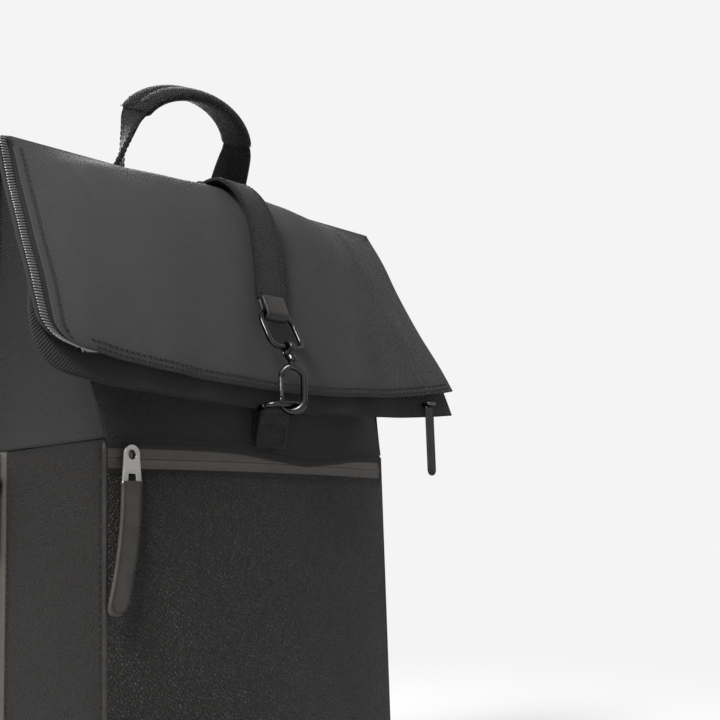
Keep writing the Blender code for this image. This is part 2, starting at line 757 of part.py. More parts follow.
def handle():
    foot = handle_foot_place()
    hub = pivot("handle_pivot", (0, foot.y, foot.z))
    half = -foot.x
    rise_way = Vector((0, -math.sin(HANDLE_LEAN), math.cos(HANDLE_LEAN)))
    back_way = Vector((0, math.cos(HANDLE_LEAN), math.sin(HANDLE_LEAN)))

    def path(share):
        """The band's middle line: up a leg, over a half ellipse, and down the other leg."""
        bend = math.pi * (HANDLE_ARCH + half) / 2
        at = share * (2 * HANDLE_LEG + bend)
        if at < HANDLE_LEG:
            across, rise = -half, at
        elif at > HANDLE_LEG + bend:
            across, rise = half, 2 * HANDLE_LEG + bend - at
        else:
            a = math.pi * (at - HANDLE_LEG) / bend
            across, rise = -half * math.cos(a), HANDLE_LEG + HANDLE_ARCH * math.sin(a)
        return Vector((across, foot.y, foot.z)) + rise_way * rise

    def band(low, high, width, thick):
        """Flat across the foot, then turned a quarter so that its width runs front to back."""

        def surface(u, v):
            share = mix(low, high, v)
            ahead = (path(min(share + 1e-3, 1)) - path(max(share - 1e-3, 0))).normalized()
            out = back_way.cross(ahead).normalized()
            turn = math.pi / 2 * min(min(share, 1 - share) / GRIP_SHARE, 1.0)
            side = out * math.cos(turn) + back_way * math.sin(turn)
            normal = side.cross(ahead).normalized()
            return path(share) + side * u * width / 2 - normal * thick / 2

        return surface

    for name, low, high in (("left", 0.0, GRIP_SHARE), ("right", 1 - GRIP_SHARE, 1.0)):
        surface = band(low, high, HANDLE_BAND, HANDLE_BAND_THICK)
        sheet(f"handle_band_{name}", "black_leather", surface, (2, 16), HANDLE_BAND_THICK, hub, True)
    inset = GRIP_SHARE + 0.006
    surface = band(inset, 1 - inset, GRIP_WIDTH, GRIP_THICK)
    sheet("handle_grip", "black_leather", surface, (2, 24), GRIP_THICK, hub, True)


# ---- Shoulder straps ------------------------------------------------------------------


def box_outline(half_width, half_height, y):
    low, high = y - half_height, y + half_height
    return [(-half_width, low), (half_width, low), (half_width, high), (-half_width, high)]


def shoulder_straps():
    for name, side in (("left", -1), ("right", 1)):
        top = Vector((side * STRAP_TOP[0], STRAP_AXIS_Y, STRAP_TOP[1]))
        foot = Vector((side * STRAP_FOOT[0], STRAP_AXIS_Y, STRAP_FOOT[1]))
        hub = pivot(f"{name}_strap_pivot", top)

        def line(share, top=top, foot=foot):
            """The strap's middle line, bowed back from the line between its ends."""
            place = top.lerp(foot, share)
            place.y += STRAP_BOW * math.sin(math.pi * share**0.85) ** 2
            return place

        across = Vector((0, 1, 0)).cross((foot - top).normalized())

        def band(width, thick, low, high, taper=1.0, line=line, across=across):
            def surface(u, v):
                wide = width * mix(taper, 1.0, min(v / 0.25, 1.0))
                return line(mix(low, high, v)) + across * (u * wide / 2) + Vector((0, thick / 2, 0))

            return surface

        surface = band(PAD_WIDTH, PAD_THICK, 0.0012, PAD_SHARE, taper=0.60)
        sheet(f"{name}_strap_pad", "foam_mesh", surface, (2, 28), PAD_THICK, hub, True)
        lock_at = line(LOCK_SHARE)
        slope = line(LOCK_SHARE + 0.01) - line(LOCK_SHARE - 0.01)
        lean = math.atan2(slope.y, -slope.z)
        half_w, half_l = WEBBING_WIDTH / 2 + 0.004, 0.0105
        outlines = [box_outline(half_w, half_l, 0.0)]
        outlines += [box_outline(half_w - 0.0035, 0.0018, z) for z in (-0.0055, 0.0045)]
        turn = (math.pi / 2 + lean, -math.atan2(foot.x - top.x, top.z - foot.z), 0)
        plate(f"{name}_ladder_lock", "black_acetal", outlines, 0.0040, lock_at, turn, hub)
        surface = band(WEBBING_WIDTH, WEBBING_THICK, LOCK_SHARE + 0.031, 0.997)
        sheet(f"{name}_webbing", "webbing", surface, (1, 10), WEBBING_THICK, hub, True)

        def upper(u, v, top=top, across=across):
            start = skin(1, (abs(top.x) - UPPER_TAB_WIDTH / 2) / half_width(rise(0.402)), rise(0.402))
            hang_y = top.y + TAB_THICK / 2
            path = [(start.y + TAB_THICK + GAP, 0.402), (start.y + 0.0085, 0.3930)]
            path += [(hang_y - 0.002, 0.3885), (hang_y, top.z)]
            place = smooth_path([(0, y, z) for y, z in path], v)
            place.x = top.x
            return place + Vector((-1, 0, 0)).lerp(across, v) * (u * UPPER_TAB_WIDTH / 2)

        sheet(f"{name}_upper_tab", "black_leather", upper, (2, 8), TAB_THICK, flip=True)

        def lower(u, v, foot=foot, across=across):
            hang_y = foot.y + TAB_THICK / 2
            path = [(BACK_Y + GAP + 0.6 * TAB_THICK, 0.008), (BACK_Y + 0.0125, 0.0135)]
            path += [(hang_y - 0.002, 0.0215), (hang_y, foot.z + 0.0003)]
            place = smooth_path([(0, y, z) for y, z in path], v)
            place.x = foot.x
            return place + Vector((-1, 0, 0)).lerp(across, v) * (u * mix(0.018, 0.0125, v))

        sheet(f"{name}_lower_tab", "black_leather", lower, (2, 6), TAB_THICK)


def build():
    clear_scene()
    lower_bag()
    upper_bag()
    sewn_tab()
    closure(flap())
    front_zip_slider()
    mouth_zip_slider()
    side_zip_slider()
    handle()
    shoulder_straps()


build()
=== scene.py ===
"""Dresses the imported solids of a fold-over leather and twill backpack as the finished bag.

Every surface is worked out with numpy from the frame's own sizes. The lower bag is pebbled leather,
the upper bag and its fold are coated cloth, and the metalwork is black lacquer and nickel.
"""

import json
import math

import bmesh
import bpy
import numpy as np
from mathutils import Matrix, Vector


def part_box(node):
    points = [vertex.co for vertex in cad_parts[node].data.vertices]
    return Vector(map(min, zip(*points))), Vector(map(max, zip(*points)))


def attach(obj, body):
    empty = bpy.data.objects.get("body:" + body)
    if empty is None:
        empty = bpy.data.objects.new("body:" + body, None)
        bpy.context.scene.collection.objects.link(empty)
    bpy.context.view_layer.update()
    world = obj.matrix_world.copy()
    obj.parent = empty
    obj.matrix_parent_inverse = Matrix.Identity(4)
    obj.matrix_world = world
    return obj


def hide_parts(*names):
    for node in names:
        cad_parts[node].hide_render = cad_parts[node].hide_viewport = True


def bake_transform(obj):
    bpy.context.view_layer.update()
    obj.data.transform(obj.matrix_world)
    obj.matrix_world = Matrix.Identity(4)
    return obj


bl_info = {
    "name": "Fold-over backpack dressing",
    "version": (1, 0, 0),
    "blender": (4, 5, 0),
    "location": "3D View > Sidebar > Backpack",
    "description": "Builds the cloth, leather, stitching, zips and metalwork of a fold-over backpack",
    "category": "Object",
}

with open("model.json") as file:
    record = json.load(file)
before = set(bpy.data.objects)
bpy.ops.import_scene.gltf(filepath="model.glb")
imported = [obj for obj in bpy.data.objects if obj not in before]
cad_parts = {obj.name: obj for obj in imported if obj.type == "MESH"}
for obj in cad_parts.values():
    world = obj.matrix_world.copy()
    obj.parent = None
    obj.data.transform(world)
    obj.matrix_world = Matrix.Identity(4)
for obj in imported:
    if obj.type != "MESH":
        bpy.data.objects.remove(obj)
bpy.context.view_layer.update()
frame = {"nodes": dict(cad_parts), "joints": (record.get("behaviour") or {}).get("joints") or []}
JOINTS = {joint["name"]: joint for joint in frame["joints"]}
GAP = 0.0003


def low(node, axis):
    """The lower end of a CAD node's box along an axis."""
    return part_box(node)[0][axis]


def high(node, axis):
    """The upper end of a CAD node's box along an axis."""
    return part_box(node)[1][axis]


def joint_place(name):
    """A joint's place in the world."""
    return np.array(JOINTS[name]["pos_m"], float)


# ---- Sizes read from the frame --------------------------------------------------------

HALF = high("bottom_panel", 0)
FRONT_MIDDLE_Y = low("bottom_panel", 1)
FRONT_BOW = 0.0153
CORNER_Y = FRONT_MIDDLE_Y + FRONT_BOW
BACK_Y = high("back_panel", 1)
FLOOR_Z = high("bottom_panel", 2)
SEAM_Z = high("back_panel", 2) + GAP
POCKET_TOP_Z = high("front_pocket_panel", 2)
FRONT_ZIP_WIDTH = 0.013
YOKE_FOOT_Z = POCKET_TOP_Z + FRONT_ZIP_WIDTH
RIDGE_Y, RIDGE_Z = joint_place("flap_fold")[1:]
RIDGE_HALF = 0.192
FLAP_HALF = 0.209
FLAP_MIDDLE = np.array(
    [
        (-0.0181, 0.4920),
        (-0.0385, 0.4880),
        (-0.0575, 0.4640),
        (-0.0700, 0.4300),
        (-0.0820, 0.3900),
        (-0.0900, 0.3500),
        (-0.0945, 0.3220),
    ]
)
FLAP_END = np.array([(-0.0190, 0.4915), (-0.0965, 0.3380)])
STRAP_X = joint_place("oval_ring_swing")[0]
SIDE_ZIP_Y = joint_place("side_pull_swing")[1]
SIDE_ZIP_HALF = 0.008

# ---- Sizes and ways shared by several pieces ------------------------------------------

# thickness of cloth and leather, and how a sewn panel's border rolls back
CLOTH = 0.0012
HIDE = 0.0022
SEAM_INSET = 0.004
BORDER_REACH = 0.0035
BORDER_ROLL = 0.0016

# the upper bag: the share of its width that its skins fill, and the back's half width at the straps
SIDE_SHARE = 0.995
BACK_HALF = 0.187
FOLD_ROWS = 150
FOLD_LENGTH = 0.175
STRAP_DRIFT = 0.0085

# the handle, its place on the back, and the back's pads and straps
FOOT_V = 0.56
HANDLE_HALF = 0.0575
HANDLE_LEG = 0.078
HANDLE_ARCH = 0.036
HANDLE_LEAN = math.radians(23)
GRIP_SHARE = 0.305
PAD_GROOVE = 0.036
PAD_SHARE = 0.66
LOCK_SHARE = 0.693

ACROSS = np.array((1.0, 0.0, 0.0))
UPWARDS = np.array((0.0, 0.0, 1.0))
FRONTWARDS = (0, -1, 0)
SIDES = ((-1, "left"), (1, "right"))
FOLD = ("bag", "flap", (0, RIDGE_Y + 0.004, RIDGE_Z), (0, RIDGE_Y - 0.010, RIDGE_Z))
PULL_NODES = {"front_pull": "front_zip_pull", "mouth_pull": "mouth_zip_pull", "side_pull": "side_zip_pull"}


# ---- Shapes as arrays -----------------------------------------------------------------


def mix(a, b, share):
    """The value a share of the way from a to b."""
    return a + (b - a) * share


def unit(vectors):
    """Vectors at length 1."""
    return vectors / np.maximum(np.linalg.norm(vectors, axis=-1, keepdims=True), 1e-12)


def stack(x, y, z):
    """Points from their three coordinates, each an array or a number."""
    return np.stack(np.broadcast_arrays(x, y, z), -1).astype(float)


def eased(count, low_end=0.0, high_end=1.0):
    """Numbers from low_end to high_end, closer together near both: half of 1 minus a cosine."""
    return mix(low_end, high_end, 0.5 - 0.5 * np.cos(np.pi * np.linspace(0, 1, count)))


def spline(points, share):
    """A smooth open curve through points (Catmull-Rom: each span a cubic of its four neighbours)."""
    points = np.asarray(points, float)
    spans = len(points) - 1
    at = np.clip(np.asarray(share, float) * spans, 0, spans - 1e-9)
    i = at.astype(int)
    t = (at - i)[..., None]
    p = [points[np.clip(i + k, 0, spans)] for k in (-1, 0, 1, 2)]
    return 0.5 * (
        2 * p[1]
        + (p[2] - p[0]) * t
        + (2 * p[0] - 5 * p[1] + 4 * p[2] - p[3]) * t**2
        + (3 * p[1] - p[0] - 3 * p[2] + p[3]) * t**3
    )


def ripple(a, b, seed, size, turns=6):
    """Soft uneven swells: a sum of sine waves over the metres a and b, each with its own direction."""
    rng = np.random.default_rng(seed)
    total = np.zeros(np.broadcast(a, b).shape)
    for _ in range(turns):
        angle, phase = rng.uniform(0, math.tau, 2)
        wave = math.tau / (size * rng.uniform(0.6, 1.6))
        total += np.sin(wave * (a * math.cos(angle) + b * math.sin(angle)) + phase) / turns**0.5
    return total


def front_y(x):
    """The bowed front: a circular arc across the bag."""
    radius = (HALF**2 + FRONT_BOW**2) / (2 * FRONT_BOW)
    return CORNER_Y - FRONT_BOW + radius - np.sqrt(radius**2 - np.square(x))


def half_width(f):
    """The upper bag's half width at a share f of the rise: it widens to the ridge by f^1.2."""
    return mix(HALF, RIDGE_HALF, np.maximum(f, 0) ** 1.2)


def skin(side, s, f):
    """A skin of the upper bag, side -1 front and +1 back: between its edge and its crown by 1 - |s|^2.2."""
    f = np.clip(f, 0, 1)
    reach = (FRONT_MIDDLE_Y if side < 0 else BACK_Y) - RIDGE_Y
    crown = RIDGE_Y + reach * np.sqrt(np.maximum(1 - f ** (2.0 if side < 0 else 4.0), 0))
    depth = mix((BACK_Y - CORNER_Y) / 2, 0.003, f)
    edge = mix((CORNER_Y + BACK_Y) / 2, RIDGE_Y, f) + side * depth
    y = mix(edge, crown, 1 - np.abs(s) ** 2.2)
    if side < 0:
        y = np.minimum(y, edge)
    return stack(s * half_width(f), y, mix(SEAM_Z, RIDGE_Z, f))


def back_rise(v):
    """The share of the rise at v: the root of a sine, which closes up towards the ridge."""
    return np.sin(np.radians(mix(0.0002, 89.5, v))) ** 0.5


def back_surface(u, v):
    """The back skin, at u across it and v up it."""
    return skin(1, u, back_rise(v))


def flap_surface(u, v):
    """The fold's outer face: a smooth curve down the middle, straight at the ends, mixed by |u|^2."""
    u, v = np.broadcast_arrays(u, v)
    middle = spline(FLAP_MIDDLE, v)
    end = FLAP_END[0] + (FLAP_END[1] - FLAP_END[0]) * v[..., None]
    place = mix(middle, end, (np.abs(u) ** 2)[..., None])
    return stack(u * mix(RIDGE_HALF, FLAP_HALF, v), place[..., 0], place[..., 1])


def normals_of(points):
    """Unit normals of a grid: the cross product of its steps along the columns and along the rows."""
    across = np.gradient(points, axis=1)
    along = np.gradient(points, axis=0)
    return unit(np.cross(across, along))


def off(points, by, sign=1):
    """A grid moved along its normals by the distance by."""
    return points + normals_of(points) * (sign * np.asarray(by))[..., None]


def border(points, reach):
    """1 inside a panel, falling to 0 on its border as a quarter circle over the distance reach."""
    rows = np.linalg.norm(np.diff(points, axis=0), axis=-1)
    cols = np.linalg.norm(np.diff(points, axis=1), axis=-1)
    down = np.concatenate([np.zeros((1, points.shape[1])), np.cumsum(rows, 0)])
    over = np.concatenate([np.zeros((points.shape[0], 1)), np.cumsum(cols, 1)], 1)
    away = np.minimum(np.minimum(down, down[-1:] - down), np.minimum(over, over[:, -1:] - over))
    return np.sqrt(1 - np.square(1 - np.clip(away / reach, 0, 1)))


def rounded_section(width, thick, power=6.0, count=28):
    """A flat strip's section with rounded edges: a superellipse, x^p + y^p = 1."""
    a = np.linspace(0, math.tau, count, endpoint=False)
    x = np.sign(np.cos(a)) * np.abs(np.cos(a)) ** (2 / power)
    y = np.sign(np.sin(a)) * np.abs(np.sin(a)) ** (2 / power)
    return np.stack([x * width / 2, y * thick / 2], -1)


def circle_section(radius, count=12):
    """A round section."""
    a = np.linspace(0, math.tau, count, endpoint=False)
    return np.stack([np.cos(a) * radius, np.sin(a) * radius], -1)


def carried(path, section, side, closed=False, scale=None):
    """A section carried along a path. Its x runs along side and its y along tangent x side."""
    path = np.asarray(path, float)
    if closed:
        tangent = unit(np.roll(path, -1, 0) - np.roll(path, 1, 0))
    else:
        tangent = unit(np.gradient(path, axis=0))
    side = np.broadcast_to(side, path.shape)
    side = unit(side - tangent * np.sum(side * tangent, -1, keepdims=True))
    over = np.cross(tangent, side)
    section = np.broadcast_to(section, (len(path), *np.shape(section)[-2:]))
    if scale is not None:
        section = section * np.asarray(scale)[:, None, None]
    return path[:, None] + side[:, None] * section[..., :1] + over[:, None] * section[..., 1:]


def running_length(path):
    """The length along a path up to each of its points: the sum of the steps before it."""
    return np.concatenate([[0], np.cumsum(np.linalg.norm(np.diff(path, axis=0), axis=-1))])


def at_lengths(values, run, at):
    """What values, given along a path of running lengths run, are at the lengths at."""
    return np.stack([np.interp(at, run, values[:, k]) for k in range(3)], -1)


def resample(path, step):
    """Points a step apart along a path, by its running length."""
    run = running_length(path)
    count = max(int(run[-1] / step), 1)
    return at_lengths(path, run, np.linspace(0, run[-1], count + 1))


def rounded_corners(corners, radius, steps=8):
    """A closed 2D outline whose corners are quadratic curves, drawn from cut to cut towards the corner."""
    corners = np.asarray(corners, float)
    before, after = unit(np.roll(corners, 1, 0) - corners), unit(np.roll(corners, -1, 0) - corners)
    half = np.arccos(np.clip(np.sum(before * after, -1), -1, 1)) / 2
    cut = (radius / np.tan(half))[:, None]
    share = np.linspace(0, 1, steps)[None, :, None]
    start, end = (corners + before * cut)[:, None], (corners + after * cut)[:, None]
    bend = (1 - share) ** 2 * start + 2 * share * (1 - share) * corners[:, None] + share**2 * end
    return bend.reshape(-1, 2)


def oblong(half, low_end, high_end, radius, steps):
    """An oblong outline, half wide to each side, with round corners."""
    corners = [(-half, low_end), (half, low_end), (half, high_end), (-half, high_end)]
    return rounded_corners(corners, radius, steps)


# ---- Meshes ---------------------------------------------------------------------------


def grid_mesh(name, points, wrap_rows=False, wrap_cols=False, caps=False, turned=False):
    """Quads over a grid of points, with a UV map in metres: the running length along each way."""
    rows, cols = points.shape[:2]
    full = np.concatenate([points, points[:, :1]], 1) if wrap_cols else points
    full = np.concatenate([full, full[:1]], 0) if wrap_rows else full
    over = np.cumsum(np.linalg.norm(np.diff(full, axis=1, prepend=full[:, :1]), axis=-1), 1)
    over -= over[:, -1:] / 2
    along = np.cumsum(np.linalg.norm(np.diff(full, axis=0, prepend=full[:1]), axis=-1), 0)
    i, j = np.meshgrid(np.arange(full.shape[0] - 1), np.arange(full.shape[1] - 1), indexing="ij")
    corner_i = np.stack([i, i, i + 1, i + 1], -1).reshape(-1, 4)
    corner_j = np.stack([j, j + 1, j + 1, j], -1).reshape(-1, 4)
    if turned:
        corner_i, corner_j = corner_i[:, ::-1], corner_j[:, ::-1]
    faces = ((corner_i % rows) * cols + corner_j % cols).tolist()
    uv = np.stack([over[corner_i, corner_j], along[corner_i, corner_j]], -1).reshape(-1, 2)
    if caps:
        first, last = list(range(cols)), list(range((rows - 1) * cols, rows * cols))
        faces += [first if turned else first[::-1], last[::-1] if turned else last]
        uv = np.concatenate([uv, np.zeros((2 * cols, 2))])
    mesh = bpy.data.meshes.new(name)
    mesh.from_pydata(points.reshape(-1, 3).tolist(), [], faces)
    mesh.uv_layers.new(name="UVMap").data.foreach_set("uv", uv.astype(np.float32).ravel())
    mesh.shade_smooth()
    return mesh


def piece(name, mesh, look, body, stands_for=()):
    """An object at the origin that rides a body and stands for CAD nodes."""
    obj = bpy.data.objects.new(name, mesh)
    bpy.context.scene.collection.objects.link(obj)
    mesh.materials.append(LOOKS[look])
    if body:
        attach(obj, body)
    if stands_for:
        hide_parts(*stands_for)
    return obj


def walled(obj, thick, edge=0.0, offset=-1.0):
    """Gives a sheet its thickness, behind its face, and rounds the edges of its rim."""
    wall = obj.modifiers.new("Wall", "SOLIDIFY")
    wall.thickness = thick
    wall.offset = offset
    if edge:
        rim = obj.modifiers.new("Rim", "BEVEL")
        rim.width = edge
        rim.segments = 2
        rim.limit_method = "ANGLE"
        rim.angle_limit = math.radians(55)
        rim.harden_normals = True
    return obj


def sheet(name, points, look, stands_for, thick, body="bag", turned=False):
    """A grid as a sheet of cloth, leather or tape with its thickness."""
    return walled(piece(name, grid_mesh(name, points, turned=turned), look, body, stands_for), thick)


def band(name, path, section, side, look, body, stands_for=(), scale=None):
    """A section carried along a path and closed by caps."""
    points = carried(path, section, side, scale=scale)
    mesh = recalculated(grid_mesh(name, points, wrap_cols=True, caps=True))
    return piece(name, mesh, look, body, stands_for)


def tube(name, path, radius, look, side, body="bag"):
    """A round cord or wire along a path."""
    return band(name, path, circle_section(radius), np.array(side, float), look, body)


def turned_part(name, path, radii, look, body, nodes=(), side=ACROSS, count=24):
    """A turned part: a circle carried along a path with its own radius at each point."""
    return band(name, path, circle_section(1.0, count), side, look, body, nodes, radii)


def metal_ring(name, path, section, side, body, node):
    """A ring of black metal: a section carried round a closed path."""
    mesh = recalculated(grid_mesh(name, carried(path, section, side, closed=True), True, True))
    return piece(name, mesh, "black_metal", body, [node])


def recalculated(mesh, merge=1e-6):
    """Merges doubles and turns every face outwards."""
    bm = bmesh.new()
    bm.from_mesh(mesh)
    bmesh.ops.remove_doubles(bm, verts=bm.verts, dist=merge)
    bmesh.ops.recalc_face_normals(bm, faces=bm.faces)
    bm.to_mesh(mesh)
    bm.free()
    mesh.shade_smooth()
    return mesh


def outline_mesh(name, outlines, thick, place, x_way, y_way, edge=0.0):
    """A flat plate with holes: outlines in the plane of x_way and y_way, filled, thick along their normal."""
    curve = bpy.data.curves.new(name, "CURVE")
    curve.dimensions = "2D"
    curve.fill_mode = "BOTH"
    curve.extrude = thick / 2 - edge
    curve.bevel_depth = edge
    curve.bevel_resolution = 2
    for outline in outlines:
        line = curve.splines.new("POLY")
        line.points.add(len(outline) - 1)
        flat = np.concatenate([outline, np.zeros((len(outline), 1)), np.ones((len(outline), 1))], 1)
        line.points.foreach_set("co", flat.astype(np.float32).ravel())
        line.use_cyclic_u = True
    helper = bpy.data.objects.new(name + "_outline", curve)
    bpy.context.scene.collection.objects.link(helper)
    graph = bpy.context.evaluated_depsgraph_get()
    graph.update()
    mesh = bpy.data.meshes.new_from_object(helper.evaluated_get(graph))
    bpy.data.objects.remove(helper)
    z_way = np.cross(x_way, y_way)
    turn = Matrix(np.stack([x_way, y_way, z_way], 1).tolist()).to_4x4()
    mesh.transform(Matrix.Translation(Vector(place)) @ turn)
    mesh.name = name
    recalculated(mesh)
    mesh.set_sharp_from_angle(angle=math.radians(50))
    return mesh


def scattered(name, shape, centres, along, side, look, body, blend=None):
    """One small shape repeated: each copy turned so that x runs along, y to the side and z up from both."""
    corners, faces = shape
    along = unit(np.broadcast_to(along, centres.shape))
    side = np.broadcast_to(side, centres.shape)
    side = unit(side - along * np.sum(side * along, -1, keepdims=True))
    up = np.cross(along, side)
    turn = np.stack([along, side, up], -1)
    points = np.einsum("nij,kj->nki", turn, corners) + centres[:, None]
    count = len(corners)
    every = [[i + n * count for i in face] for n in range(len(centres)) for face in faces]
    mesh = bpy.data.meshes.new(name)
    mesh.from_pydata(points.reshape(-1, 3).tolist(), [], every)
    mesh.shade_smooth()
    obj = piece(name, mesh, look, None if blend else body)
    if blend:
        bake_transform(obj)
    return obj


def capsule(length, radius, sides=6):
    """A short rod with tapered ends along x: rings of growing and shrinking radius, closed by caps."""
    rings = [(-0.5, 0.35), (-0.36, 0.9), (0.0, 1.0), (0.36, 0.9), (0.5, 0.35)]
    a = np.linspace(0, math.tau, sides, endpoint=False)
    points = [(x * length, radius * r * math.cos(t), radius * r * math.sin(t)) for x, r in rings for t in a]
    faces = [
        [k * sides + i, k * sides + (i + 1) % sides, (k + 1) * sides + (i + 1) % sides, (k + 1) * sides + i]
        for k in range(len(rings) - 1)
        for i in range(sides)
    ]
    faces += [list(range(sides))[::-1], list(range((len(rings) - 1) * sides, len(rings) * sides))]
    return np.array(points), faces


STITCH = capsule(0.0034, 0.00042, 5)


def stitched(name, path, up, body="bag", pitch=0.0046, shape=STITCH):
    """A row of stitches along a path, one each pitch, lying on the surface whose normal is up."""
    middles, along = stitch_places(path, pitch)
    side = np.cross(np.broadcast_to(up, middles.shape), along)
    return scattered(name, shape, middles, along, side, "thread", body)


def stitch_places(path, pitch):
    """The middle and the direction of each stitch along a path."""
    places = resample(path, pitch)
    return (places[1:] + places[:-1]) / 2, places[1:] - places[:-1]


# ---- Materials ------------------------------------------------------------------------


class Socket:
    """A value in a shader, so that its maths reads as an expression."""

    def __init__(self, shop, output):
        self.shop, self.output = shop, output

    def _maths(self, operation, *values):
        return self.shop.node("ShaderNodeMath", {"operation": operation}, dict(enumerate(values)))

    def __add__(self, other):
        return self._maths("ADD", self, other)

    def __sub__(self, other):
        return self._maths("SUBTRACT", self, other)

    def __rsub__(self, other):
        return self._maths("SUBTRACT", other, self)

    def __mul__(self, other):
        return self._maths("MULTIPLY", self, other)

    def __pow__(self, other):
        return self._maths("POWER", self, other)

    def sine(self):
        return self._maths("SINE", self)

    def clamped(self, low_end, high_end):
        """The value's share of the way from low_end to high_end, held between 0 and 1."""
        values = {"Value": self, "From Min": low_end, "From Max": high_end}
        return self.shop.node("ShaderNodeMapRange", {"clamp": True}, values)


class Workshop:
    """The node tree of one material."""

    def __init__(self, name, colour, rough, metal=0.0, **constants):
        self.material = bpy.data.materials.new(name)
        self.material.use_nodes = True
        self.tree = self.material.node_tree
        self.shader = self.tree.nodes["Principled BSDF"]
        self.set(self.shader, {"Base Color": colour, "Roughness": rough, "Metallic": metal, **constants})
        self.material.diffuse_color = (*colour[:3], 1.0)

    def set(self, node, values):
        for key, value in values.items():
            socket = node.inputs[key]
            if isinstance(value, Socket):
                self.tree.links.new(value.output, socket)
            elif hasattr(socket.default_value, "__len__") and len(socket.default_value) == 4:
                socket.default_value = (*value[:3], 1.0)
            else:
                socket.default_value = value

    def node(self, kind, settings=None, values=None, output=0):
        made = self.tree.nodes.new(kind)
        for key, value in (settings or {}).items():
            setattr(made, key, value)
        self.set(made, values or {})
        return Socket(self, made.outputs[output])

    def place(self, kind="Object"):
        return self.node("ShaderNodeTexCoord", output=kind)

    def parts(self, vector):
        split = self.tree.nodes.new("ShaderNodeSeparateXYZ")
        self.set(split, {"Vector": vector})
        return [Socket(self, out) for out in split.outputs]

    def noise(self, vector, scale, detail=2.0, rough=0.5):
        values = {"Vector": vector, "Scale": scale, "Detail": detail, "Roughness": rough}
        return self.node("ShaderNodeTexNoise", None, values)

    def wander(self, vector, scale, reach):
        """A small shift that varies from place to place."""
        values = {"Vector": vector, "Scale": scale, "Detail": 1.0}
        colour = self.node("ShaderNodeTexNoise", None, values, output=1)
        return self.node("ShaderNodeVectorMath", {"operation": "SCALE"}, {0: colour, "Scale": reach})

    def cells(self, vector, scale, feature="F1", random=1.0):
        values = {"Vector": vector, "Scale": scale, "Randomness": random}
        return self.node("ShaderNodeTexVoronoi", {"feature": feature}, values)

    def blend(self, share, first, second):
        """A colour between two by a share."""
        made = self.tree.nodes.new("ShaderNodeMix")
        made.data_type = "RGBA"
        self.set(made, {0: share, 6: first, 7: second})
        return Socket(self, made.outputs[2])

    def bump(self, height, distance, strength=1.0, under=None):
        values = {"Height": height, "Distance": distance, "Strength": strength}
        if under:
            values["Normal"] = under
        return self.node("ShaderNodeBump", None, values)

    def finish(self, **links):
        self.set(self.shader, {key.replace("_", " "): value for key, value in links.items()})
        return self.material


def pebbled(name, colour, grain, depth, rough):
    """Grained leather: rounded cells with creases between them, over a slower swell."""
    shop = Workshop(name, colour, rough, **{"Specular IOR Level": 0.16})
    at = shop.place()
    bent = shop.node("ShaderNodeVectorMath", {"operation": "ADD"}, {0: at, 1: shop.wander(at, 120, 0.0016)})
    cell = shop.cells(bent, grain, "DISTANCE_TO_EDGE")
    pebble = cell.clamped(0.0, 0.42) ** 0.7
    fine = shop.noise(at, grain * 2.6, 3, 0.65)
    slow = shop.noise(at, 20, 2)
    height = pebble + fine * 0.55 + shop.noise(at, grain * 0.45, 2) * 0.5
    # painted shade: share, and the tone made from it, are darker where the pebbles dip, in the creases
    # between them; the fine noise adds a random mottle
    share = pebble * 0.5 + fine * 0.5
    tone = shop.blend(share.clamped(0.15, 0.75), [c * 0.30 for c in colour], [c * 1.7 for c in colour])
    shine = slow * 0.12 + (1 - pebble) * 0.2 + (rough - 0.10)
    return shop.finish(Base_Color=tone, Roughness=shine, Normal=shop.bump(height, depth))


def smooth_leather(name, colour, rough):
    """Plain leather: fine pores and slow creases."""
    shop = Workshop(name, colour, rough, **{"Specular IOR Level": 0.25})
    at = shop.place()
    pores = shop.noise(at, 2600, 3)
    slow = shop.noise(at, 90, 3)
    tone = shop.blend(slow.clamped(0.3, 0.7), [c * 0.75 for c in colour], [c * 1.2 for c in colour])
    relief = shop.bump(pores * 0.3 + slow * 0.8, 0.0003)
    return shop.finish(Base_Color=tone, Roughness=slow * 0.2 + (rough - 0.1), Normal=relief)


def woven(name, colour, rough, pitch, diagonal, depth, crease=0.0015):
    """Cloth: ribs across the UV map, along its diagonal for a twill, or both ways for a plain weave."""
    shop = Workshop(name, colour, rough, **{"Specular IOR Level": 0.10})
    u, v, _ = shop.parts(shop.place("UV"))
    turn = math.tau / pitch
    if diagonal:
        ribs = ((u * 0.8 + v) * turn).sine() * 0.28 + ((v * 0.8 - u) * (turn * 1.1)).sine() * 0.22 + 0.5
    else:
        ribs = (u * turn).sine() * (v * turn).sine() * 0.5 + 0.5
    at = shop.place()
    slow = shop.noise(at, 16, 3)
    fluff = shop.noise(at, 1400, 2)
    # painted shade: tone is darker where the ribs dip, in the grooves of the weave; the fluff noise adds a
    # random mottle
    tone = shop.blend(ribs * 0.7 + fluff * 0.3, [c * 0.35 for c in colour], [c * 1.65 for c in colour])
    creases = shop.bump(slow, crease * 4, 0.55)
    shine = slow * 0.2 + (rough - 0.1)
    weave = shop.bump(ribs + fluff * 0.35, depth, 0.8, under=creases)
    return shop.finish(Base_Color=tone, Roughness=shine, Normal=weave)


def coated_tape(name, colour, rough):
    """Water-resistant zip tape: a smooth coat with faint mottling."""
    shop = Workshop(name, colour, rough, **{"Specular IOR Level": 0.3})
    at = shop.place()
    slow = shop.noise(at, 130, 3)
    tone = shop.blend(slow, [c * 0.8 for c in colour], [c * 1.2 for c in colour])
    return shop.finish(Base_Color=tone, Normal=shop.bump(shop.noise(at, 900, 2), 0.0001, 0.5))


def metal(name, colour, rough):
    """Metal whose roughness varies a little, as handled metal's does."""
    shop = Workshop(name, colour, rough, 1.0)
    worn = shop.noise(shop.place(), 350, 3)
    return shop.finish(Roughness=worn * 0.12 + (rough - 0.05))


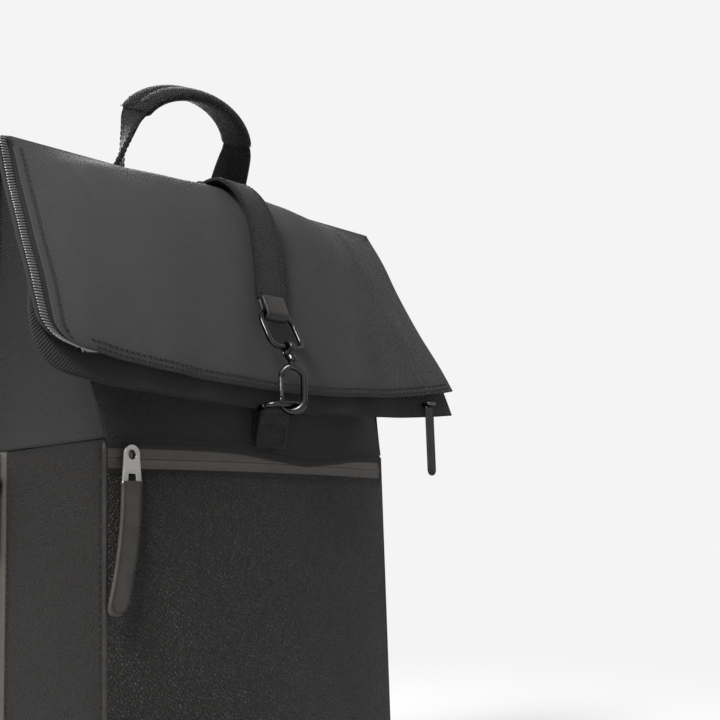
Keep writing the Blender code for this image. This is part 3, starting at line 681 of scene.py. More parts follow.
def spacer_mesh(name, colour):
    """Spacer mesh: rows of open holes in a soft knit."""
    shop = Workshop(name, colour, 0.85)
    hole = shop.cells(shop.place("UV"), 420, "F1", 0.0).clamped(0.18, 0.46)
    knit = shop.noise(shop.place(), 2200, 2)
    # painted shade: tone is dark in the holes, where the knit is recessed
    tone = shop.blend(hole, [c * 0.25 for c in colour], [c * 1.4 for c in colour])
    return shop.finish(Base_Color=tone, Normal=shop.bump(hole + knit * 0.2, 0.0007))


def ribbed_webbing(name, colour):
    """Webbing: short ribs along and across, as the product of two sine waves."""
    shop = Workshop(name, colour, 0.7)
    u, v, _ = shop.parts(shop.place("UV"))
    ribs = (v * (math.tau / 0.0016)).sine() * (u * (math.tau / 0.0024)).sine() * 0.5 + 0.5
    # painted shade: tone is darker where the ribs dip, in the grooves between them
    tone = shop.blend(ribs, [c * 0.6 for c in colour], [c * 1.3 for c in colour])
    return shop.finish(Base_Color=tone, Normal=shop.bump(ribs, 0.0004))


def plain(name, colour, rough):
    """An even finish with a faint grain."""
    shop = Workshop(name, colour, rough, **{"Specular IOR Level": 0.15})
    return shop.finish(Normal=shop.bump(shop.noise(shop.place(), 1500, 2), 0.00008, 0.6))


LOOKS = {}


def make_looks(settings):
    """Every material, by the name that the pieces ask for."""
    leather, cloth = tuple(settings.leather), tuple(settings.cloth)
    LOOKS.update(
        leather=pebbled("pebbled_leather", leather, settings.grain, 0.0030, 0.44),
        fine_leather=pebbled("fine_grain_leather", leather, settings.grain * 1.3, 0.0030, 0.44),
        smooth=smooth_leather("smooth_leather", (0.014, 0.0125, 0.0115), 0.42),
        strip=smooth_leather("pull_leather", (0.030, 0.027, 0.024), 0.50),
        twill=woven("coated_twill", cloth, 0.60, 0.0023, True, 0.0012),
        plain_weave=woven("plain_weave", tuple(c * 2.1 for c in cloth), 0.55, 0.0017, False, 0.0012),
        lining=woven("lining", (0.05, 0.05, 0.052), 0.75, 0.0008, False, 0.0001),
        tape=coated_tape("zip_tape", (0.042, 0.037, 0.033), 0.45),
        dark_tape=plain("dark_zip_tape", (0.010, 0.010, 0.010), 0.75),
        coil=metal("zip_coil", (0.060, 0.056, 0.052), 0.34),
        teeth=metal("mouth_teeth_metal", (0.16, 0.155, 0.15), 0.32),
        black_metal=metal("black_metal", (0.030, 0.030, 0.031), 0.24),
        dark_metal=metal("dark_metal", (0.075, 0.072, 0.070), 0.28),
        nickel=metal("nickel", (0.34, 0.33, 0.31), 0.30),
        mesh=spacer_mesh("spacer_mesh", (0.024, 0.024, 0.025)),
        webbing=ribbed_webbing("webbing", (0.022, 0.022, 0.023)),
        acetal=plain("acetal", (0.018, 0.018, 0.018), 0.38),
        board=plain("board", (0.08, 0.08, 0.08), 0.7),
        thread=plain("thread", (0.008, 0.008, 0.008), 0.45),
    )


# ---- Lower bag ------------------------------------------------------------------------


def flat_panel(origin, across, width, height, counts):
    """An upright flat grid from origin, with its points closer near the border."""
    u, v = np.meshgrid(eased(counts[0]), eased(counts[1]))
    return origin + u[..., None] * np.array(across) * width + v[..., None] * np.array((0, 0, 1)) * height


def sewn_panel(name, points, look, node, seed, swell=0.0015):
    """A leather panel: its border rolls back a little, and its face swells and ripples softly."""
    inside = border(points, BORDER_REACH)
    far = border(points, 0.06)
    wave = ripple(points[..., 0] + points[..., 1], points[..., 2], seed, 0.11) * 0.0006
    lift = inside * BORDER_ROLL - BORDER_ROLL + far * swell + wave * far
    return sheet(name, off(points, lift), look, [node], HIDE)


def pocket_pieces():
    """The front pocket's bowed leather face with its top stitching, and the inner wall behind it."""
    half = HALF - 0.0002
    u, v = np.meshgrid(eased(150, -1, 1), eased(110))
    x = u * half
    points = stack(x, front_y(x), mix(FLOOR_Z + GAP, POCKET_TOP_Z, v))
    sewn_panel("pocket_front", points, "leather", "front_pocket_panel", 3)
    run = np.linspace(-half + SEAM_INSET, half - SEAM_INSET, 80)
    path = stack(run, front_y(run) - 0.0008, POCKET_TOP_Z - 0.0035)
    stitched("pocket_top_stitch", path, FRONTWARDS)

    inner_x = x * 0.985
    inner_y = mix(CORNER_Y + 0.0056, front_y(inner_x) + 0.0050, v**4)
    inner = stack(inner_x, inner_y, mix(FLOOR_Z, YOKE_FOOT_Z, v))
    sheet("pocket_inner_wall", inner, "lining", ["front_inner_wall"], CLOTH)


def side_pieces(side, label):
    """One side: a stitched leather panel before and behind its zip, and piping down both corners."""
    rear_start = SIDE_ZIP_Y + SIDE_ZIP_HALF + 0.0004 if side < 0 else SIDE_ZIP_Y - SIDE_ZIP_HALF + 0.0002
    panels = (
        ("side_front", "side_panel", CORNER_Y + 0.0004, SIDE_ZIP_Y - SIDE_ZIP_HALF - 0.0004),
        ("side_rear", "rear_gusset", rear_start, BACK_Y - 0.0012),
    )
    for part, node, start, end in panels:
        origin = np.array((side * HALF, end if side < 0 else start, FLOOR_Z + GAP))
        counts = (max(int((end - start) / 0.0016), 16), 90)
        points = flat_panel(origin, (0, side, 0), end - start, SEAM_Z - FLOOR_Z - 2 * GAP, counts)
        name = f"{part}_{label}"
        sewn_panel(name, points, "fine_leather", f"{node}_{label}", 5 + side, 0.001)
        for k, y in enumerate((start + SEAM_INSET, end - SEAM_INSET)):
            path = stack(side * (HALF + 0.0004), y, np.linspace(FLOOR_Z + 0.006, SEAM_Z - 0.006, 60))
            stitched(f"{name}_stitch_{k}", path, (side, 0, 0))
    corner = stack(side * (HALF - 0.0016), CORNER_Y + 0.0012, np.linspace(FLOOR_Z, SEAM_Z - 0.002, 40))
    tube(f"corner_piping_{label}", corner, 0.0019, "smooth", ACROSS)
    rear = stack(side * (HALF - 0.0014), BACK_Y - 0.0008, np.linspace(FLOOR_Z, SEAM_Z, 40))
    tube(f"rear_piping_{label}", rear, 0.0018, "smooth", ACROSS)


def base_and_back():
    """The leather base with its rounded rim, and the cloth of the back."""
    u, v = np.meshgrid(eased(80, -1, 1), eased(50))
    x = u * (HALF - 0.0006)
    points = stack(x, mix(BACK_Y - 0.0008, front_y(x) + 0.0006, v), 0.0)
    base = piece("base", grid_mesh("base", points), "leather", "bag", ["bottom_panel"])
    walled(base, FLOOR_Z - 0.0001, 0.0010)

    origin = np.array((HALF - 0.001, BACK_Y, FLOOR_Z + 0.0004))
    points = flat_panel(origin, (-1, 0, 0), 2 * HALF - 0.002, SEAM_Z - FLOOR_Z - 2 * GAP, (120, 110))
    points = off(points, border(points, BORDER_REACH) * 0.001 - 0.001)
    sheet("back_cloth", points, "twill", ["back_panel"], HIDE)


def inside_pieces():
    """The padded divider, and the look of the stiff board on the floor."""
    mesh = block_mesh("laptop_divider_pad", *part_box("laptop_divider"), 10, (64, 96))
    divider = piece("laptop_divider_pad", mesh, "lining", "bag", ["laptop_divider"])
    board = frame["nodes"]["base_board"]
    board.data.materials.clear()
    board.data.materials.append(LOOKS["board"])


def lower_bag_pieces():
    """Everything below the seam, apart from the zips."""
    pocket_pieces()
    for side, label in SIDES:
        side_pieces(side, label)
    base_and_back()
    inside_pieces()


def block_mesh(name, lo, hi, power, counts):
    """A rounded block: the superellipsoid |x|^p + |y|^p + |z|^p = 1, stretched to a box."""
    heights = np.linspace(-math.pi / 2, math.pi / 2, counts[0])
    rounds = np.linspace(0, math.tau, counts[1], endpoint=False)
    lat, lon = np.meshgrid(heights, rounds, indexing="ij")
    way = stack(np.cos(lat) * np.cos(lon), np.cos(lat) * np.sin(lon), np.sin(lat))
    cube = way / np.max(np.abs(way), -1, keepdims=True)
    size = np.sum(np.abs(cube) ** power, -1, keepdims=True) ** (-1 / power)
    middle, half = (np.array(lo) + np.array(hi)) / 2, (np.array(hi) - np.array(lo)) / 2
    return recalculated(grid_mesh(name, middle + cube * size * half, wrap_cols=True), merge=2e-6)


def back_pads():
    """Two quilted pads: a domed face with two grooves pressed down it."""
    u, v = np.meshgrid(eased(120, -1, 1), eased(80, -1, 1))
    dome = ((1 - np.abs(u) ** 8) * (1 - np.abs(v) ** 6)) ** 0.5
    corner = 1 - 0.05 * np.abs(u) ** 6 * np.abs(v) ** 6
    for label in ("lower", "upper"):
        lo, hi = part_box(f"back_pad_{label}")
        middle, half = (np.array(lo) + np.array(hi)) / 2, (np.array(hi) - np.array(lo)) / 2
        grooves = sum(np.exp(-np.square((u * half[0] - x) / 0.0022)) for x in (-PAD_GROOVE, PAD_GROOVE))
        face = (hi[1] - lo[1] + 0.002) * dome - 0.0035 * grooves * dome
        x, z = middle[0] - u * half[0] * corner, middle[2] + v * half[2] * corner
        points = stack(x, BACK_Y + 0.0002 + face, z)
        pad = sheet(f"back_cushion_{label}", points, "mesh", [f"back_pad_{label}"], 0.0006)


# ---- Upper bag and fold ---------------------------------------------------------------

HEM_V = 0.985
FLAP_EDGE = 0.975


def fold_edge(v):
    """The outer layer's edge across the fold: straight down, then rounded into the hem by a quarter arc."""
    turn = np.clip((v - 0.885) / (HEM_V - 0.885), 0, 1)
    return FLAP_EDGE - 0.085 * (1 - np.sqrt(1 - turn**2 * 0.999))


def welt(x, at, width=0.0022):
    """A raised seam: a narrow bell curve round the place at."""
    return np.exp(-np.square((x - at) / width))


def outer_cloth():
    """The outer layer in one piece: up the back, over the ridge and down the fold, whose grid it returns."""
    u = np.linspace(-1, 1, 261)[None]
    v_back = np.linspace(0, 0.985, 90)[:, None]
    back = back_surface(u, v_back)
    wave = ripple(back[..., 0], back[..., 2], 21, 0.12) * np.clip(v_back * 3, 0, 1)
    back = off(back, wave * 0.0010 * (1 - v_back**6) + 0.0004, -1)

    v = np.linspace(0.004, HEM_V, FOLD_ROWS)[:, None]
    flap = flap_surface(np.where(u < 0, -fold_edge(v) * np.abs(u), u), v)
    x, z = flap[..., 0], flap[..., 2]
    seam_right, seam_left = mix(0.127, 0.176, v), mix(-0.153, -0.130, v)
    raised = 0.0013 * welt(x, seam_right) + 0.0004 * welt(x, seam_left, 0.003)
    swell = ripple(x, z, 31, 0.10) * 0.0011 + ripple(x, z, 32, 0.04) * 0.0003
    flap = off(flap, (raised + swell) * np.clip(v * 4, 0, 1) + 0.0002, -1)
    mesh = grid_mesh("outer_cloth", np.concatenate([back, flap]), turned=True)
    cloth = piece("outer_cloth", mesh, "plain_weave", None, ["top_panel", "flap_outer"])
    walled(cloth, CLOTH)
    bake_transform(cloth)
    return flap


def hem_stitches(flap):
    """Two rows of stitching along the hem and up the fold's left edge."""
    v = np.linspace(0.004, HEM_V, FOLD_ROWS)
    for k, inset in enumerate((0.0035, 0.0085)):
        row = np.argmin(np.abs(v - (HEM_V - inset / FOLD_LENGTH)))
        path = flap[row, 14:258] + np.array((0, -0.0005, 0.0001))
        stitched(f"hem_stitch_{k}", path, FRONTWARDS, "flap")
        column = int(2 + inset * 310)
        edge = flap[8 : row + 1, column] + np.array((0, -0.0005, 0.0003))
        stitched(f"flap_edge_stitch_{k}", edge, FRONTWARDS, "flap")


def under_cloth():
    """The fold's under layer, which hangs a little below the hem and stands out past its left edge."""
    u = np.linspace(-1, 1, 261)[None]
    v = np.linspace(0.03, 1.0, 120)[:, None]
    under = off(flap_surface(u, v), 0.0040)
    lower = np.clip((v - 0.85) / 0.15, 0, 1) ** 1.5
    under[..., 2] -= lower * (0.0115 + 0.005 * np.abs(u) ** 2)
    rounding = np.clip((v - 0.90) / 0.10, 0, 1)
    squeeze = 1 - 0.10 * (1 - np.sqrt(1 - 0.999 * rounding**2)) * (u < 0)
    flare = mix(1.005, 1.045, np.clip((v - 0.55) / 0.30, 0, 1) ** 1.5)
    under[..., 0] *= np.where(u < 0, squeeze * flare, 1.0)
    swell = ripple(under[..., 0], under[..., 2], 41, 0.07) * 0.0009 * np.clip(v * 3, 0, 1)
    under = off(under, swell, -1)
    sheet("under_cloth", under, "twill", ["flap_inner"], CLOTH, "flap", turned=True)


def yoke_sag(x):
    """How far the yoke's lower edge droops over the zip: a bell curve right of the middle."""
    return 0.0085 * np.exp(-np.square((x - 0.036) / 0.050))


def front_cloth():
    """The front yoke, from the zip up to the ridge, under the fold."""
    u = np.linspace(-1, 1, 181)[None]
    straight = np.linspace(YOKE_FOOT_Z, SEAM_Z - 0.001, 6)
    sloped = mix(SEAM_Z, RIDGE_Z - 0.022, np.linspace(0, 1, 80))
    z = np.concatenate([straight, sloped])[:, None]
    f = (z - SEAM_Z) / (RIDGE_Z - SEAM_Z)
    x = u * (HALF - 0.001)
    lower = stack(x, front_y(x), z)
    upper = skin(-1, u * SIDE_SHARE, np.maximum(f, 0))
    points = np.where((f < 0)[..., None], lower, upper)
    points[..., 1] += 0.006 * np.maximum(f, 0) ** 5
    near_foot = np.clip(1 - (points[..., 2] - YOKE_FOOT_Z) / 0.05, 0, 1) ** 1.5
    points[..., 2] -= yoke_sag(points[..., 0]) * near_foot
    swell = ripple(points[..., 0], points[..., 2], 51, 0.09) * 0.0012
    swell = swell * np.clip((z - YOKE_FOOT_Z) / 0.02, 0, 1)
    points = off(points, swell + border(points, 0.003) * 0.0008 - 0.0008)
    sheet("front_cloth", points, "twill", ["front_yoke"], CLOTH)
    run = np.linspace(-HALF + 0.005, HALF - 0.005, 90)
    for k, rise in enumerate((0.0028, 0.0065)):
        height = YOKE_FOOT_Z + rise - yoke_sag(run) * (1 - rise / 0.05) ** 1.5
        stitched(f"yoke_stitch_{k}", stack(run, front_y(run) - 0.0013, height), FRONTWARDS)


def side_cloth(side, label):
    """One side of the upper bag: straight from skin to skin, tucked inwards by a sine each way."""
    share, f = np.meshgrid(np.linspace(0, 1, 50), np.linspace(0, 0.99, 70))
    edge = np.full(f.shape, side * SIDE_SHARE)
    points = mix(skin(-1, edge, f), skin(1, edge, f), share[..., None])
    tuck = np.sin(np.pi * share) ** 0.8 * 0.012 * np.sin(np.pi * np.clip(f, 0, 1)) ** 0.7
    swell = ripple(share * 0.1, f * 0.2, 61, 0.06) * 0.0006 * np.sin(np.pi * share)
    points[..., 0] = side * (half_width(f) * SIDE_SHARE - tuck + swell)
    nodes = [f"side_gusset_{label}"]
    sheet(f"side_cloth_{label}", points, "twill", nodes, CLOTH, turned=side < 0)


# ---- Zips -----------------------------------------------------------------------------


def front_zip():
    """The pocket's zip: two tapes that meet over the teeth, each crowned along its meeting edge."""
    x = np.linspace(-HALF + 0.002, HALF - 0.002, 140)[None]
    middle = (POCKET_TOP_Z + YOKE_FOOT_Z) / 2
    tapes = (
        ("lower", POCKET_TOP_Z - 0.003, middle - 0.00025, ["front_zip_tape", "front_zip_coil"]),
        ("upper", middle + 0.00025, YOKE_FOOT_Z + 0.003, []),
    )
    for label, start, end, nodes in tapes:
        z = np.linspace(start, end, 8)[:, None]
        crown = 0.0008 * np.exp(-np.square((z - middle) / 0.002))
        points = stack(x, front_y(x) + 0.0010 - crown, z)
        sheet(f"front_tape_{label}", points, "tape", nodes, 0.0008)
    run = resample(stack(x[0], front_y(x[0]) + 0.0009, middle), 0.0016)
    scattered("front_teeth", capsule(0.0022, 0.0004, 5), run, UPWARDS, ACROSS, "coil", "bag")


def mouth_zip(flap):
    """The mouth's teeth and tape: up the fold's left edge, round its corner, and tucked in along the hem."""
    columns = flap.shape[1]
    edge = np.concatenate([flap[3:, 0], flap[-1, 1 : columns - 3]])
    inward = unit(np.concatenate([flap[3:, 8] - flap[3:, 0], (flap[-8] - flap[-1])[1 : columns - 3]]))
    behind = np.array((0, 0.0020, 0.0))
    run = running_length(edge)
    corner = run[flap.shape[0] - 4]
    tuck = np.clip((run - corner + 0.012) / 0.030, 0, 1)[:, None]
    path = edge - inward * mix(0.0062, -0.0040, tuck) + behind * 0.55
    run = running_length(path)
    at = np.linspace(0, run[-1], int(run[-1] / 0.0023))
    places, ways = at_lengths(path, run, at), unit(at_lengths(inward, run, at))
    side = unit(np.gradient(places, axis=0))
    scattered("mouth_teeth", capsule(0.0062, 0.00085, 6), places, ways, side, "teeth", "flap")
    first = edge + inward * 0.003 + behind
    last = edge - inward * mix(0.0115, -0.0010, tuck) + behind * 1.3
    strip = np.stack([mix(first, last, t) for t in np.linspace(0, 1, 6)], 1)
    nodes = ["mouth_zip_tape", "mouth_zip_coil"]
    tape = piece("mouth_tape", grid_mesh("mouth_tape", strip), "dark_tape", "flap", nodes)
    walled(tape, 0.0007, offset=0.0)


def side_zip():
    """The side zip: two flat tapes and a column of teeth between them."""
    lo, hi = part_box("side_zip_tape")
    tapes = (
        ("front", lo[1] - 0.002, SIDE_ZIP_Y - 0.0004, ["side_zip_tape", "side_zip_coil"]),
        ("rear", SIDE_ZIP_Y + 0.0004, hi[1] + 0.002, []),
    )
    for label, start, end, nodes in tapes:
        y, z = np.meshgrid(np.linspace(end, start, 6), np.linspace(lo[2], hi[2], 60))
        sheet(f"side_tape_{label}", stack(-HALF + 0.0007, y, z), "tape", nodes, 0.0007)
    centres = stack(-HALF + 0.0002, SIDE_ZIP_Y, np.arange(lo[2] + 0.004, hi[2] - 0.002, 0.0017))
    tooth = capsule(0.0048, 0.00065, 6)
    scattered("side_teeth", tooth, centres, (0, 1, 0), UPWARDS, "coil", "bag")


def pull_strip(name, place, box, axis, thick, normal, look, spare=0.0, bow=0.0):
    """A leather pull, as wide and long as its CAD box: a flat strip with a round end and a stitched rim.

    The half width follows a circle round the end, and the strip thins a little there.
    """
    lo, hi = box
    radius = (hi[axis] - lo[axis]) / 2
    length = hi[2] - lo[2] + spare
    normal = np.array(normal, float)
    down = np.array((0.0, 0.0, -1.0))
    side = np.cross(normal, down)
    start = 1 - radius / length
    straight = np.linspace(0, start, 40)[:-1]
    rounded = 1 - radius / length * (1 - np.sin(np.linspace(0, math.pi / 2, 14)))
    t = np.concatenate([straight, rounded])
    past = t * length - (length - radius)
    circle = np.sqrt(np.maximum(radius**2 - np.square(past), 1e-9))
    half = np.where(t < start, radius, circle)
    path = np.array(place) + down * (t * length)[:, None] + side * (bow * np.square(t))[:, None]
    section = rounded_section(1.0, thick, 5.0, 24)
    section = np.broadcast_to(section, (len(t), *section.shape)).copy()
    section[..., 0] *= 2 * half[:, None]
    section[..., 1] *= np.clip(half / radius, 0.25, 1)[:, None] ** 0.3
    points = path[:, None] + side * section[..., :1] + normal * section[..., 1:]
    mesh = recalculated(grid_mesh(f"{name}_strip", points, wrap_cols=True, caps=True))
    piece(f"{name}_strip", mesh, look, name, [PULL_NODES[name]])

    reach = radius - 0.0016
    face = normal * (thick / 2 + 0.0001)
    line = path[t * length < length - radius] + face
    a = np.linspace(0, math.pi, 14)[:, None]
    centre = path[t * length <= length - radius][-1] + face
    arc = centre + side * np.cos(a) * reach + down * np.sin(a) * reach
    rim = np.concatenate([line + side * reach, arc, (line - side * reach)[::-1]])
    stitched(f"{name}_strip_stitch", rim, normal, name, 0.0028, capsule(0.0021, 0.00028, 5))


def slider_body(zip_name):
    """A zip slider: a rounded block as large as its CAD solid."""
    lo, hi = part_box(f"{zip_name}_zip_slider")
    name = f"{zip_name}_slider_body"
    mesh = block_mesh(name, np.array(lo) - 0.0002, np.array(hi) + 0.0002, 5, (24, 36))
    piece(name, mesh, "dark_metal", f"{zip_name}_slider", [f"{zip_name}_zip_slider"])


def front_zip_pull():
    """The front zip's slider, its nickel tab with a hole and a forked foot, the bar there and the pull."""
    slider_body("front")
    hinge, strip_at = joint_place("front_tab_swing"), joint_place("front_pull_swing")
    x, y = hinge[0], hinge[1]
    lo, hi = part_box("front_zip_tab")
    centre_z, radius = hi[2] - 0.0065, 0.0062
    foot = lo[2] - centre_z
    a = np.linspace(0, math.pi, 24)
    top = np.stack([np.cos(a) * radius, np.sin(a) * radius], -1)
    right = [(0.0034, foot * 0.66), (0.0040, foot), (0.0075, foot), (0.0072, foot * 0.75), (radius, -0.003)]
    left = [(-across, z) for across, z in reversed(right)]
    outlines = [np.concatenate([top, left, right]), circle_section(0.0036, 28)]
    mesh = outline_mesh("front_tab_plate", outlines, 0.0020, (x, y, centre_z), ACROSS, UPWARDS, 0.0004)
    piece("front_tab_plate", mesh, "nickel", "front_tab", ["front_zip_tab"])
    bar = stack(np.linspace(x - 0.0080, x + 0.0080, 12), y, strip_at[2] + 0.0028)
    tube("front_tab_bar", bar, 0.0011, "nickel", UPWARDS, "front_tab")
    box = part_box("front_zip_pull")
    place = (x, y, box[1][2] + 0.002)
    pull_strip("front_pull", place, box, 0, 0.0032, FRONTWARDS, "strip", 0.002, -0.013)


def small_pulls():
    """The sliders and pulls of the mouth zip, which faces the front, and of the side zip."""
    for zip_name in ("mouth", "side"):
        slider_body(zip_name)
    for zip_name, axis, normal in (("mouth", 0, FRONTWARDS), ("side", 1, (-1, 0, 0))):
        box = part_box(f"{zip_name}_zip_pull")
        lo, hi = np.array(box)
        middle = (lo + hi) / 2
        place = (middle[0], middle[1], hi[2])
        pull_strip(f"{zip_name}_pull", place, box, axis, 0.0026, normal, "smooth")


# ---- Closure --------------------------------------------------------------------------


def strap_path():
    """The strap's middle line: up the back, over the ridge, and down the fold, lifted off it by a sine.

    It lies up to 8.5 mm to the right of the rings and comes back towards them at its end.
    """
    v = np.linspace(0.035, 0.668, 90)
    x = STRAP_X + STRAP_DRIFT * (1 - np.clip((v - 0.30) / 0.37, 0, 1) ** 2 * 0.75)
    line = flap_surface(x / mix(RIDGE_HALF, FLAP_HALF, v), v)
    outward = np.cross(unit(np.gradient(line, axis=0)), ACROSS) * -1
    outward *= np.sign(-outward[:, 1:2] + 1e-9)
    lift = 0.0030 + 0.0070 * np.sin(np.pi * np.clip((v - 0.03) / 0.66, 0, 1)) ** 1.3
    front = line + outward * lift[:, None]

    v = np.linspace(0.52, 0.955, 40)
    x = STRAP_X + STRAP_DRIFT * np.clip((v - 0.52) / 0.43, 0, 1)
    rear = back_surface(x / BACK_HALF, v)
    rear = rear + outward_of(rear) * 0.0021
    crest_top = (front[0, 0], RIDGE_Y + 0.001, RIDGE_Z + 0.0052)
    crest = spline([rear[-1], crest_top, front[0]], np.linspace(0, 1, 16))[1:-1]
    return np.concatenate([rear, crest, front])


def outward_of(path):
    """The normals of a strap on the bag's back, turned up and back."""
    normals = unit(np.cross(np.gradient(path, axis=0), ACROSS))
    return normals * np.sign(normals[:, 2:3] + normals[:, 1:2])


def closure_band(line):
    """The strap with its two rows of stitching."""
    path = resample(line, 0.0022)
    section = rounded_section(0.030, 0.0034, 7.0, 36)
    nodes = ["closure_strap", "strap_anchor"]
    strap = band("closure_band", path, section, ACROSS, "fine_leather", None, nodes)
    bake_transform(strap)
    normal = unit(np.cross(np.gradient(path, axis=0), ACROSS))
    inside = np.array((STRAP_X, 0.02, 0.40))
    normal *= np.sign(np.sum(normal * (path - inside), -1, keepdims=True))
    for side, label in SIDES:
        edge = path + normal * 0.0018 + np.array((side * 0.0122, 0, 0))
        middles, along = stitch_places(edge, 0.0042)
        stitch = capsule(0.0031, 0.0004, 5)
        scattered(f"closure_stitch_{label}", stitch, middles, along, ACROSS, "thread", None, blend=FOLD)


def ring_loop(end):
    """The leather loop from the strap's end round the oval ring's bar: an arc with two straight tails."""
    bar = joint_place("oval_ring_swing")
    a = np.linspace(math.radians(60), math.radians(-200), 40)
    radius = 0.0038
    arc = stack(STRAP_X, bar[1] + radius * np.cos(a), bar[2] + radius * np.sin(a))
    t = np.linspace(0, 1, 12)
    top_end = end + np.array((0, 0.0012, 0.0050))
    top = stack(STRAP_X, mix(top_end[1], arc[0, 1], t), mix(top_end[2], arc[0, 2] + 0.0004, t))
    front_end = end + np.array((0, -0.0036, 0.0036))
    rise = stack(STRAP_X, mix(arc[-1, 1], front_end[1], t), mix(arc[-1, 2] + 0.0004, front_end[2], t))
    path = np.concatenate([top[:-1], arc, rise[1:]])
    section = rounded_section(0.0225, 0.0024, 6.0, 28)
    band("ring_loop", path, section, ACROSS, "smooth", "flap", ["strap_loop"])


def closure_pieces():
    """The strap over the fold, its anchor behind, the loop, rings, hook, tab and D-ring."""
    line = strap_path()
    closure_band(line)
    ring_loop(line[-1])
    oval_ring()
    swivel()
    snap_hook()
    d_ring()
    ring_tab()


def oval_ring():
    """The oval ring: a flattened wire round a rounded oblong that leans with the hook."""
    bar = joint_place("oval_ring_swing")
    half, tall = 0.0168, 0.026
    lean = (joint_place("swivel_swing")[1] - bar[1]) / -tall
    flat = rounded_corners([(-half, 0), (half, 0), (half, -tall), (-half, -tall)], 0.0085, 10)
    path = np.stack([bar[0] + flat[:, 0], bar[1] + lean * flat[:, 1], bar[2] + flat[:, 1]], -1)
    face = unit(np.array((0, 1.0, -lean)))
    metal_ring("oval_link", path, rounded_section(0.0034, 0.0036, 2.6, 16), face, "oval_ring", "oval_ring")


def swivel():
    """The swivel's eye, a flattened ring, and its barrel, which widens towards the hook."""
    eye, pin = joint_place("swivel_swing"), joint_place("hook_turn")
    a = np.linspace(0, math.tau, 40, endpoint=False)
    centre_z, radius = eye[2] - 0.0012, 0.0047
    path = stack(eye[0], eye[1] + radius * np.cos(a), centre_z + radius * np.sin(a))
    section = rounded_section(0.0042, 0.0026, 2.6, 14)
    metal_ring("swivel_eye", path, section, ACROSS, "hook_swivel", "hook_swivel")
    t = np.linspace(0, 1, 16)
    y = spline([(eye[1],), (eye[1],), (pin[1],), (pin[1],)], t)[:, 0]
    path = np.linspace((eye[0], eye[1], centre_z - radius + 0.0014), (pin[0], pin[1], pin[2] + 0.0002), 16)
    path[:, 1] = y
    radii = 0.0023 + 0.0014 * np.clip(t * 3 - 0.7, 0, 1) - 0.0004 * (np.abs(t - 0.72) < 0.06)
    turned_part("swivel_barrel", path, radii, "black_metal", "hook_swivel")


def snap_hook():
    """The hook: a bowed wire with a shoulder, both in one upright plane, and the sprung gate between."""
    pin = joint_place("hook_turn")
    angle, leg = math.radians(-50.0), 0.00825
    along = np.array((math.cos(angle), math.sin(angle), 0.0))
    side = np.cross(along, UPWARDS)
    bend_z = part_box("snap_hook")[0][2] + 0.00225 + leg

    def in_plane(flat):
        return np.array((pin[0], pin[1], 0.0)) + along * flat[:, :1] + UPWARDS * flat[:, 1:]

    neck = [(0, 0), (0, 0.0035), (leg * 0.55, 0.0065), (leg * 0.93, 0.0105), (leg, 0.015)]
    neck = [(x, pin[2] - drop) for x, drop in neck] + [(leg, bend_z)]
    upper = spline(neck, np.linspace(0, 1, 40))
    b = np.linspace(0, -math.pi, 34)[1:]
    lower = np.stack([leg * np.cos(b), bend_z + leg * np.sin(b)], -1)
    flat = np.concatenate([upper, lower, [(-leg, bend_z + 0.0024)]])
    run = np.linspace(0, 1, len(flat))
    radii = 0.0024 + 0.0007 * np.exp(-np.square((run - 0.72) / 0.16)) - 0.0003 * (run > 0.97)
    nodes = ["snap_hook"]
    turned_part("hook_body", in_plane(flat), radii, "black_metal", "snap_hook", nodes, side, 18)

    shoulder = [(0.25, 0.0042), (-0.35, 0.0048), (-0.86, 0.0085), (-0.97, 0.0112)]
    shoulder = spline([(leg * share, pin[2] - drop) for share, drop in shoulder], np.linspace(0, 1, 20))
    radii = np.full(20, 0.0023)
    turned_part(
        "hook_shoulder", in_plane(shoulder), radii, "black_metal", "snap_hook", (), side, 16
    )
    gate = np.linspace((-leg, pin[2] - 0.0112), (-leg, bend_z + 0.0026), 30)
    t = np.linspace(0, 1, 30)
    radii = 0.00165 + 0.00022 * np.sin(t * math.tau * 9) * (t < 0.72)
    nodes = ["hook_gate"]
    turned_part("gate_spring", in_plane(gate), radii, "dark_metal", "hook_gate", nodes, side, 16)


def d_ring():
    """The D-ring: a round wire, with large corners, that rises a little towards its front."""
    hub = joint_place("d_ring_swing")
    half, reach = 0.0185, hub[1] - (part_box("d_ring")[0][1] + 0.002)
    flat = oblong(half, 0, reach, 0.0125, 14)
    path = np.stack([hub[0] + flat[:, 0], hub[1] - flat[:, 1], hub[2] + 0.003 * flat[:, 1] / reach], -1)
    metal_ring("d_link", path, circle_section(0.0022, 16), UPWARDS, "d_ring", "d_ring")


